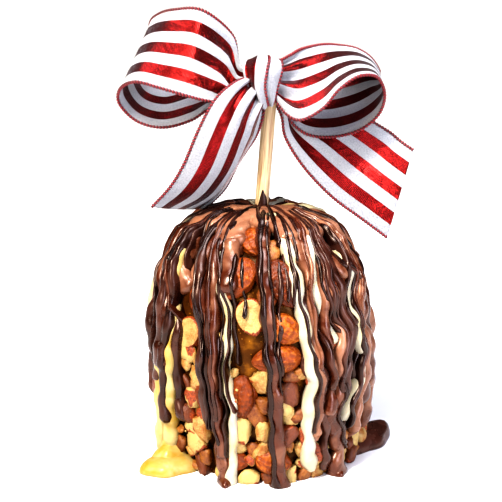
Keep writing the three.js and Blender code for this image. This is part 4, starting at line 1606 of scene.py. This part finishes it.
        arch = np.linspace(0, math.pi, self.CORNERS[strand.is_thick])[None, :]
        side = -np.cos(arch)
        base = foot[:, :1] * (1 - side) / 2 + foot[:, 1:] * (1 + side) / 2
        top = base + (high - base) * np.sin(arch) ** self.SQUARENESS
        deep = np.repeat(foot.min(axis=1)[:, None] - self.ROOT, 2, axis=1)
        tucked = np.concatenate([side, [[self.TUCK, -self.TUCK]]], axis=1)
        rings = FORM.point(*at(tucked), np.concatenate([top, deep], axis=1))
        tint = strand.tint + self.TINT_SWING * self.waves(along, self.TINT_MM)
        skin = closed_run(rings, strand.width * 2, along, {"tint": tint})
        self.skins[strand.chocolate].append(skin)
        wide = half * length / np.maximum(down, 0.25 * length) / degree
        self.raise_relief(bearing, route, np.minimum(wide, self.WIDEST), foot, crown)

    def raise_relief(
        self,
        bearing: Array,
        route: Array,
        half: Array,
        foot: Array,
        crown: Array,
    ) -> None:
        """Raises the relief to a strand's arch, row by row of the relief's grid.

        Args:
            bearing: the strand's bearing at each step.
            route: its route, growing.
            half: half its width along a row, in degrees.
            foot: the reach of its two feet.
            crown: the reach of its crown.
        """
        ground = self.ground
        rows = np.flatnonzero((ground.routes >= route[0]) & (ground.routes <= route[-1]))
        middle, spread, top, left, right = (
            np.interp(ground.routes[rows], route, v)[:, None]
            for v in (bearing, half, crown, foot[:, 0], foot[:, 1])
        )
        side = ((ground.bearings[None, :] - middle + 180) % 360 - 180) / spread
        base = left * (1 - side) / 2 + right * (1 + side) / 2
        bow = np.sqrt(np.maximum(1 - side**2, 0)) ** self.SQUARENESS
        raised = np.maximum(ground.reach[rows], base + (top - base) * bow)
        ground.reach[rows] = np.where(np.abs(side) < 1, raised, ground.reach[rows])


@dataclass(frozen=True)
class Pool:
    """A pool of set chocolate on the plate: a low dome with an uneven outline."""

    centre: tuple[float, float]
    long: float
    wide: float
    along: float
    height: float
    tint: float = 0.5
    curl: float = 0.0
    flatness: float = 3.6

    SIDES = 48
    RINGS = 12
    UNDERCUT = 0.96

    def skin(self) -> Skin:
        """The pool's closed skin.

        Its height at a share q of the way out is the square root of one minus q to the power
        of its flatness, so it is flat on top and round at its edge. A curl lifts its far end.

        Returns:
            The skin.
        """
        length = np.array([math.sin(self.along * DEG), -math.cos(self.along * DEG), 0.0])
        width = np.array([length[1], -length[0], 0.0])
        angle = circle(self.SIDES)
        outline = 1 + 0.12 * np.sin(2 * angle + 1) + 0.06 * np.sin(5 * angle)
        q = np.sin(np.arange(1, self.RINGS + 1) / self.RINGS * math.pi / 2)[:, None]
        x = self.long * q * outline * np.cos(angle)
        y = self.wide * q * outline * np.sin(angle)
        z = self.height * np.sqrt(np.maximum(1 - q**self.flatness, 0)) + 0 * angle
        z += self.curl * np.clip(x / self.long, 0, 1.2) ** 3 * (1 - 0.6 * q**8)
        centre = np.array([*self.centre, 0.0])
        top = centre + x[..., None] * length + y[..., None] * width
        top[..., 2] = z
        under = centre + (top[-1:] - centre) * [self.UNDERCUT, self.UNDERCUT, 0]
        return closed_run(np.concatenate([top, under]), 20.0, carried={"tint": self.tint})


@dataclass(frozen=True)
class Coat:
    """All that is poured: strands in layers, the cap round the stick, and the pools."""

    cap_route: float = 0.3
    cap_rows: int = 30
    cap_columns: int = 120
    cap_tint: float = 0.7
    cap_depth: float = 1.5
    ripple_mm: float = 9.0
    ripple_height: float = 0.4
    ripple_seed: int = 5
    seed: int = 41
    yellow: float = 0.33
    left_foot: float = -50
    # Thick strands and milk that start above these routes get the lighter tongue and top milk
    # tints: painted highlight where the light falls on the top.
    tongue_top: float = 0.07
    milk_top: float = 0.11
    # Strands on the right get up to this much lighter tint, out to this bearing: painted sheen of
    # the cool light from the right.
    right_painted_sheen: float = 0.12
    right_from: float = 40
    sheet_fullness: float = 0.14
    back_sheet_width: float = 9.0
    pools: tuple[tuple[Chocolate, Pool], ...] = (
        (Chocolate.WHITE, Pool((-40, -29), 12, 10.5, -54, 6.0, tint=0.22)),
        (Chocolate.WHITE, Pool((-40, -25.5), 8.5, 7.5, -54, 11, tint=0.22, flatness=1.5)),
        (Chocolate.WHITE, Pool((-39.5, -24), 5.5, 5, -54, 18, tint=0.3, flatness=1.2)),
        (Chocolate.DARK, Pool((46, -1), 15, 10, 145, 8.0, tint=0.9, curl=3.0, flatness=2.4)),
        (Chocolate.MILK, Pool((-16, -42), 7, 3.6, 8, 3.2)),
        (Chocolate.MILK, Pool((31, -33), 5.5, 4.2, 41, 3.2)),
        (Chocolate.MILK, Pool((-27, 36), 9, 7, 216, 3.2)),
    )
    # The tongue and top milk tints are lighter than the rest: painted highlight on the sunlit top.
    tints: ClassVar[dict[str, tuple[float, float]]] = {
        "white": (0.6, 1.0),
        "tongue": (0.85, 1.1),
        "top milk": (0.65, 1.05),
        "thick": (0.3, 0.85),
        "fine": (0.1, 0.6),
    }

    def cap(self) -> Skin:
        """The chocolate heaped round the stick, as a closed lens that thins out at its edge."""
        route = np.linspace(FIRST_ROUTE, self.cap_route, self.cap_rows)
        b, r = np.meshgrid(np.arange(self.cap_columns) * 360 / self.cap_columns, route)
        edge = 1 + 0.25 * np.sin(5 * b * DEG) + 0.2 * np.sin(9 * b * DEG + 1)
        r = r * (0.75 + 0.2 * edge)
        thick = 0.5 * (1 - (r / self.cap_route) ** 4) - 0.4
        top = FORM.point(b, r, FORM.piled(b, r) + thick)
        top[..., 2] += self.ripple_height * ripple(top, self.ripple_mm, self.ripple_seed)
        under = FORM.point(b, r, FORM.core(b, r) - self.cap_depth)[::-1]
        return closed_run(np.concatenate([top, under]), 30.0, carried={"tint": self.cap_tint})

    def strands(self) -> list[Strand]:
        """Every strand, in the order that they are poured."""
        rng = np.random.default_rng(self.seed)
        front, thin, sheets = (
            [
                Strand(Chocolate(kind), width, tuple(zip(run[::2], run[1::2])))
                for kind, width, *run in runs
            ]
            for runs in (THICK_STRANDS, THIN_STRANDS, SHEETS)
        )
        back = BackStrands().all()
        sheets += [Strand(Chocolate.MILK, self.back_sheet_width, s.places[:3]) for s in back]
        sheets = [replace(s, fullness=self.sheet_fullness) for s in sheets]
        order = list(Chocolate)
        thick = sorted(front + back, key=lambda s: order.index(s.chocolate))
        rows = ((front, RIDING), (back, BESIDE))
        fine = [f for some, kind in rows for s in some for f in kind.of(s, rng)]
        return [replace(s, tint=self.tint(s, rng)) for s in sheets + thick + thin + fine]

    def tint(self, strand: Strand, rng: np.random.Generator) -> float:
        """A strand's tint: white is yellow at the left foot, and painted highlight and sheen
        lighten the top milk and the right.
        """
        (_, top), (bearing, foot) = strand.places[0], strand.places[-1]
        if strand.chocolate is Chocolate.WHITE:
            return self.yellow if bearing < self.left_foot else rng.uniform(*self.tints["white"])
        # Painted highlight: strands that start round the top get a lighter tint.
        if top < self.tongue_top and strand.is_thick:
            return rng.uniform(*self.tints["tongue"])
        if top < self.milk_top and foot < 1 and strand.chocolate is Chocolate.MILK:
            return rng.uniform(*self.tints["top milk"])
        # Painted sheen: strands on the right get a lighter tint.
        lean = self.right_painted_sheen * float(np.clip(bearing / self.right_from, 0, 1))
        return lean + rng.uniform(*self.tints["thick" if strand.is_thick else "fine"])

    def build(self, ground: Ground) -> None:
        """Pours everything on the relief, and makes one piece for each chocolate."""
        pour = Pour(ground)
        for strand in self.strands():
            pour.lay(strand)
        pour.skins[Chocolate.MILK].append(self.cap())
        for chocolate, pool in self.pools:
            pour.skins[chocolate].append(pool.skin())
        finishes = {Chocolate.WHITE: WHITE, Chocolate.MILK: MILK, Chocolate.DARK: DARK}
        for chocolate, finish in finishes.items():
            make_piece(finish.name, joined(pour.skins[chocolate]), finish.material(), COAT_SLOT)


@dataclass(frozen=True)
class CaramelCore:
    """The apple in its caramel, which shows between the nuts and the strands."""

    rows: int = 130
    columns: int = 260
    lump_mm: float = 9.0
    lump: float = 0.7
    lump_seed: int = 12
    sunk: float = 1.7
    sunk_from: float = 1.25
    sunk_to: float = 1.35

    def build(self) -> None:
        """Makes the core: the form with low lumps, sunk behind the lower nuts, and a base."""
        route = np.concatenate([[FIRST_ROUTE], np.linspace(0.02, 2, self.rows)])
        b, r = np.meshgrid(np.arange(self.columns) * 360 / self.columns, route)
        smooth = FORM.point(b, r, FORM.core(b, r))
        share = np.clip((r - self.sunk_from) / (self.sunk_to - self.sunk_from), 0, 1)
        lumps = self.lump * ripple(smooth, self.lump_mm, self.lump_seed)
        reach = FORM.core(b, r) + lumps - 0.3
        reach -= self.sunk * share * share * (3 - 2 * share)
        rings = FORM.point(b, r, reach)
        rings = np.concatenate([rings, rings[-1:] * np.array([0.97, 0.97, 0.0])])
        make_piece("caramel_core", closed_run(rings, 300.0), CookedCaramel().material(), COAT_SLOT)


# ---------------------------------------------------------------- stick and ribbon


@dataclass(frozen=True)
class Stick:
    """A turned rod that leans a little, with a smear of dark chocolate where it goes in.

    The smear's one drip is given by its height, the angle where it stands, and its breadth.
    """

    foot: tuple[float, float, float] = (-5.4, 0.0, 42.0)
    top: tuple[float, float, float] = (4.2, 0.0, 171.0)
    radius: float = 2.9
    bevel: float = 0.5
    sides: int = 40
    rings: int = 60
    smear_from: float = 60.0
    smear_to: float = 70.0
    smear_rings: int = 26
    drip: tuple[float, float, float] = (5.5, 4.9, 0.6)

    def ring(self, along: Array, radius: Array) -> Array:
        """Rings round the rod.

        Args:
            along: each ring's distance from the foot, or one for each point of each ring.
            radius: the radius, of a shape that goes with it.

        Returns:
            The rings' points.
        """
        foot, axis = np.array(self.foot), unit(np.array(self.top) - np.array(self.foot))
        back = np.array([0.0, 1.0, 0.0])
        angle = circle(self.sides)[:, None]
        round_it = np.cos(angle) * np.cross(back, axis) + np.sin(angle) * back
        along, radius = (
            np.broadcast_to(v, (len(along), self.sides))[..., None] for v in (along, radius)
        )
        return foot + along * axis + radius * round_it

    def build(self) -> bpy.types.Object:
        """Makes the rod and its smear.

        Returns:
            The rod.
        """
        length = float(np.linalg.norm(np.array(self.top) - np.array(self.foot)))
        inner = np.linspace(self.bevel, length - self.bevel, self.rings)
        along = np.concatenate([[0], inner, [length]])
        is_end = (along < self.bevel) | (along > length - self.bevel)
        radius = np.where(is_end, self.radius - self.bevel, self.radius)
        rings = self.ring(along[:, None], radius[:, None])
        skin = closed_run(rings, TURN * self.radius, along)
        rod = make_piece("birch_stick", skin, TurnedBirch().material(), "stick_wood", "stick")
        angle = circle(self.sides)
        high, middle, broad = self.drip
        crest = high * np.exp(-(((angle - middle) / broad) ** 2))
        crest = crest + 1.2 * np.sin(3 * angle) + 1.1 * np.sin(7 * angle + 1)
        share = np.linspace(0, 1, self.smear_rings)[:, None]
        height = self.smear_from + (self.smear_to - self.smear_from + crest) * share
        thick = 0.5 * np.sqrt(np.clip(1 - share**6, 0, 1)) - 0.12
        rings = self.ring(height, self.radius + thick)
        smear = closed_run(rings, 18.0, share[:, 0], {"tint": 0.5})
        make_piece("stick_smear", smear, DARK.material(), COAT_SLOT, None)
        return rod


@dataclass(frozen=True)
class RibbonLength:
    """One length of ribbon, from the knot outwards.

    Each station gives a point on its upper edge, one on its lower edge, and how far the middle
    of the cloth bulges from between them. The span is the part of the ribbon's width that it
    shows. The threaded sides are those where the ribbon's own edge is, 0 for upper, -1 for lower.
    """

    stations: tuple[tuple[float, ...], ...]
    span: tuple[float, float] = (0.0, 37.999)
    threaded: tuple[int, ...] = (0, -1)
    pleats: int = 3
    closed: bool = False


LEFT_LOOP = RibbonLength(
    (
        (-3, 3, 170, -3, -5, 159, 0), (-9.8, 6.5, 170.5, -13, -9, 157, 0),
        (-12.8, 8.5, 183, -22, -13, 158, 0), (-25, 2, 194, -33, -15, 161, 0),
        (-37, 7, 194, -43, -15, 164, 0), (-45, 16, 191, -53, -12, 166, 0),
        (-49, 23, 186, -60, -4, 162, 0), (-50, 31, 173, -61, 0, 155, 0),
        (-50, 36, 165, -54, 3, 147, 0), (-43, 38, 162, -43, 4, 144, 0),
        (-33, 35, 165, -31, 4, 147, 0), (-21, 24, 165.5, -21, 3, 153, 0),
        (-3, 6, 168.5, -3, 4, 158, 0),
    ),
    closed=True,
)
RIGHT_LOOP = RibbonLength(
    (
        (5, 0, 172, 5, -5, 158, 0), (12, 6, 175, 10, -9, 152, 0), (17, 11, 177, 16, -12, 150, 0),
        (26, 18, 178, 25, -13, 155, 0), (34, 24, 177, 32, -12, 163, 0),
        (42, 28, 175, 40, -10, 168, 0), (49, 33, 170, 48, -5, 167, 0), (53, 38, 163, 52, 0, 159, 0),
        (46, 38, 165, 50, 3, 150, 0), (38, 34, 165, 42, 4, 143, 0), (29, 34, 163, 31, 4, 140, 0),
        (20, 30, 163, 20, 3, 141, 0), (12, 20, 165, 12, 3, 147, 0), (5, 6, 171, 5, 4, 158, 0),
    ),
    closed=True,
)
LEFT_TAIL = RibbonLength(
    (
        (-2, -2, 168, 1, -3, 158, 0), (-12, -12, 165.5, 0, -7, 150, 4.5),
        (-20, -17, 159, -3, -2, 141, 7.8), (-27, -17, 146, -7, 3, 134, 8.9),
        (-33, -16, 132, -11.2, 8, 126.3, 7.9), (-39, -15, 122, -16.4, 12, 115.4, 5.4),
        (-47, -14, 113, -25.2, 16, 105.4, 0.9),
    )
)
RIGHT_TAIL = RibbonLength(
    (
        (5, 4, 163, 3, 0, 159, 0), (16, 12, 152, 8, 0, 150, 0), (27, 16, 147.5, 10, 1, 140, 0),
        (41, 18, 147.5, 18, 2, 127, 0), (54.5, 15.5, 141, 30, 3, 114, 0),
        (61, 12.5, 136.2, 43, 4, 104, 0), (66, 10, 133, 55, 4, 95, 0),
    )
)
# The knot is two folded wraps, side by side. Each goes up the front, over the top and down the
# back, open below for the stick. The left one lies over the right one.
LEFT_WRAP = RibbonLength(
    (
        (-1.6, -6.4, 155.5, 2.2, -7.4, 155.3, -0.5), (-3.9, -8.6, 158.5, 1.7, -10.0, 158.3, -0.9),
        (-6.6, -9.0, 164.0, 0.9, -11.3, 164.0, -1.2), (-8.3, -8.4, 170.0, 1.7, -10.6, 170.0, -1.2),
        (-7.8, -4.6, 173.0, 2.6, -7.0, 174.0, -1.2), (-6.5, 0.5, 173.6, 2.5, -1.0, 175.0, -1.0),
        (-6.3, 5.0, 171.3, 2.0, 6.6, 172.3, -0.8), (-5.0, 6.5, 165.0, 2.0, 8.3, 165.0, -0.8),
        (-3.5, 5.0, 157.0, 2.5, 6.5, 157.0, -0.4),
    ),
    span=(11.9, 0.0),
    threaded=(-1,),
    pleats=1,
    closed=True,
)
RIGHT_WRAP = RibbonLength(
    (
        (1.2, -6.6, 155.3, 4.3, -5.2, 155.5, -0.4), (0.6, -9.2, 158.3, 5.2, -6.6, 158.5, -0.8),
        (0.0, -10.4, 164.0, 6.5, -7.0, 164.0, -1.0), (0.5, -9.9, 170.0, 8.1, -6.2, 170.0, -1.2),
        (1.4, -6.6, 173.5, 8.0, -3.6, 172.8, -1.0), (1.6, -0.8, 174.4, 7.0, 0.5, 173.4, -0.8),
        (1.3, 6.2, 171.9, 7.0, 5.0, 171.2, -0.6), (1.3, 7.9, 165.0, 6.5, 6.5, 165.0, -0.5),
        (1.8, 6.2, 157.0, 5.6, 4.8, 157.0, -0.3),
    ),
    span=(31.6, 37.999),
    threaded=(-1,),
    pleats=1,
    closed=True,
)


@dataclass(frozen=True)
class Bow:
    """The bow of wired ribbon: two loops, two tails and the knot, and thread over its edges."""

    width: float = 38.0
    flat_length: float = 470.0
    thickness: float = 0.3
    columns: int = 42
    per_span: int = 12
    pleat_height: float = 2.6
    pleat_reach: float = 24.0
    pleat_ease: float = 1.5
    drift: float = 0.9
    drift_mm: float = 9
    edge_radius: float = 0.62
    edge_step: float = 0.3
    edge_sides: int = 8
    stitch_swell: float = 0.28
    lengths: tuple[RibbonLength, ...] = (
        LEFT_LOOP,
        RIGHT_LOOP,
        LEFT_TAIL,
        RIGHT_TAIL,
        LEFT_WRAP,
        RIGHT_WRAP,
    )

    def surface(self, length: RibbonLength) -> tuple[Array, Array]:
        """A length of ribbon as a grid of points.

        At a share v of the way across, the cloth stands 4v(1 - v) times its bulge out from the
        straight between its two edge lines. Cloth that is still left over then is gathered in
        pleats, waves whose height makes up the width and dies away from the knot.

        Args:
            length: the length of ribbon.

        Returns:
            The grid, rows along by columns across, and the way along at each row.
        """
        line = line_through(np.array(length.stations, float), self.per_span)
        edges, bulge = line[:, :6].reshape(-1, 2, 3), line[:, 6]
        v = np.linspace(0, 1, self.columns)
        flat = edges[:, :1] * (1 - v)[None, :, None] + edges[:, 1:] * v[None, :, None]
        middle = edges.mean(axis=1)
        along = way_along(middle)
        across = edges[:, 1] - edges[:, 0]
        normal = unit(np.cross(np.gradient(middle, axis=0), across))
        chord = np.linalg.norm(across, axis=1)
        shown_width = abs(length.span[1] - length.span[0])
        spare = np.maximum(shown_width - chord - 8 * bulge**2 / (3 * chord), 0)
        height = np.sqrt(spare * chord) / (math.pi * length.pleats)
        height = np.minimum(height, self.pleat_height)
        away = np.minimum(along, along[-1] - along) if length.closed else along
        height = height * np.exp(-((away / self.pleat_reach) ** 2))
        height = smoothed(height, 1.0, self.pleat_ease)
        arch = 4 * v * (1 - v)
        drift = self.drift * np.sin(along / self.drift_mm)[:, None] * arch
        wave = np.sin(TURN * length.pleats * v + drift)
        lift = bulge[:, None] * arch + height[:, None] * wave
        return flat + lift[..., None] * normal[:, None], along

    def thread(self, line: Array) -> Skin:
        """The thread sewn over one edge, as a thin round cord with a swelling at each stitch.

        Args:
            line: the edge's points.

        Returns:
            Its closed skin.
        """
        far = way_along(line)
        even = np.linspace(0, far[-1], int(far[-1] / self.edge_step))
        path = np.stack([np.interp(even, far, axis) for axis in line.T], -1)
        ahead = unit(np.gradient(path, axis=0))
        side = unit(np.cross(ahead, [0.37, 0.61, 0.70]))
        angle = circle(self.edge_sides)[None, :, None]
        spread = np.cos(angle) * side[:, None] + np.sin(angle) * np.cross(side, ahead)[:, None]
        swell = 1 + self.stitch_swell * np.sin(TURN * even / THREAD.stitch_mm)[:, None, None]
        rings = path[:, None] + self.edge_radius * swell * spread
        return closed_run(rings, TURN * self.edge_radius, even)

    def build(self, stick: bpy.types.Object) -> None:
        """Args:
            stick: the rod that the bow is tied round; it is not used.
        """
        sheets, threads = [], []
        for length in self.lengths:
            points, along = self.surface(length)
            sheets.append(open_sheet(points, np.linspace(*length.span, self.columns), along))
            threads += [self.thread(points[:, side]) for side in length.threaded]
        cloth = StripedSatin().material()
        ribbon = make_piece("striped_ribbon", joined(sheets), cloth, "ribbon", "ribbon_bow")
        wall = ribbon.modifiers.new("thickness", "SOLIDIFY")
        wall.thickness = self.thickness * MM
        wall.offset = 0.0
        sewn = THREAD.material()
        edges = make_piece("wired_edges", joined(threads), sewn, "ribbon", "ribbon_bow")


# ---------------------------------------------------------------- stage


@dataclass(frozen=True)
class Studio:
    """A pale floor, soft lights round it, and the camera.

    Each soft light has a name, a place, the length of its side, its power in watts and its colour.
    The key light is wide and far off, so that it falls evenly on the whole floor.
    """

    target: tuple[float, float, float] = (-4.9, 0.0, 90.0)
    distance: float = 600.0
    elevation: float = 15.0
    half_view: float = 110.0
    floor_side: float = 8.0
    sky: str = "e9eefa"
    sky_strength: float = 0.03
    sun_from: tuple[float, float, float] = (-0.42, -0.61, 0.88)
    sun_strength: float = 4.1
    sun_width: float = 6.0
    sun_colour: str = "fffaf3"
    lights: tuple[tuple[str, tuple[float, float, float], float, float, str], ...] = (
        ("softbox", (-360, -460, 460), 240, 3.8, "fff4e8"),
        ("fill", (420, -500, 210), 320, 3.6, "e4e8ff"),
        ("top", (60, -60, 620), 320, 4.4, "f2f4ff"),
    )

    def camera(self) -> None:
        """Makes the camera, whose view at the target is twice the half view wide."""
        data = bpy.data.cameras.new("camera")
        data.lens = data.sensor_width * self.distance / (2 * self.half_view)
        lean = self.elevation * DEG
        away = np.array([0, -math.cos(lean), math.sin(lean)]) * self.distance
        camera = shown("camera", data)
        camera.location = (np.array(self.target) + away) * MM
        camera.rotation_euler = (math.pi / 2 - lean, 0, 0)
        bpy.context.scene.camera = camera

    @staticmethod
    def lamp(
        data: bpy.types.Light, power: float, colour: str, way: Vector
    ) -> bpy.types.Object:
        """Hangs up a lamp.

        Args:
            data: the lamp's own data.
            power: its power, in watts, or its strength if it is a sun.
            colour: its colour.
            way: the way that it looks.

        Returns:
            The lamp.
        """
        data.energy = power
        data.color = linear(colour)[:3]
        lamp = shown(data.name, data)
        lamp.rotation_euler = way.to_track_quat("-Z", "Y").to_euler()
        return lamp

    def lamps(self) -> None:
        """Makes the key light and the square soft lights, which look at the apple."""
        sun = bpy.data.lights.new("key", "SUN")
        sun.angle = self.sun_width * DEG
        self.lamp(sun, self.sun_strength, self.sun_colour, -Vector(self.sun_from))
        for name, place, size, power, colour in self.lights:
            square = bpy.data.lights.new(name, "AREA")
            square.size = size * MM
            lamp = self.lamp(square, power, colour, Vector(self.target) - Vector(place))
            lamp.location = Vector(place) * MM

    def floor(self) -> None:
        """Makes the floor, a plain pale square."""
        mesh = bpy.data.meshes.new("floor")
        side = self.floor_side / 2
        corners = [(-side, -side, 0), (side, -side, 0), (side, side, 0), (-side, side, 0)]
        mesh.from_pydata(corners, [], [(0, 1, 2, 3)])
        mesh.materials.append(PaintedBoard().material())
        shown("floor", mesh)

    def build(self) -> None:
        """Sets the stage."""
        self.camera()
        self.floor()
        self.lamps()
        world = bpy.data.worlds.new("sky")
        world.use_nodes = True
        background = world.node_tree.nodes["Background"].inputs
        background["Color"].default_value = linear(self.sky)
        background["Strength"].default_value = self.sky_strength
        scene = bpy.context.scene
        scene.world = world
        scene.view_settings.view_transform = "Standard"
        scene.view_settings.look = "High Contrast"


# ---------------------------------------------------------------- making it


def main() -> None:
    """Builds the stage and the apple, from the inside out."""
    logging.basicConfig(level=logging.INFO, format="%(message)s")
    Studio().build()
    nuts = [Nut(kind, *row) for kind, rows in FRONT_NUTS.items() for row in rows]
    nuts += BackNuts().all()
    ground = Ground()
    CaramelCore().build()
    for nut in Almonds().build(nuts) + [n for n in nuts if n.kind is NutKind.CHIP]:
        ground.press_in(nut)
    ChoppedNuts().build(nuts, ground)
    Coat().build(ground)
    Bow().build(Stick().build())


if __name__ == "__main__":
    main()
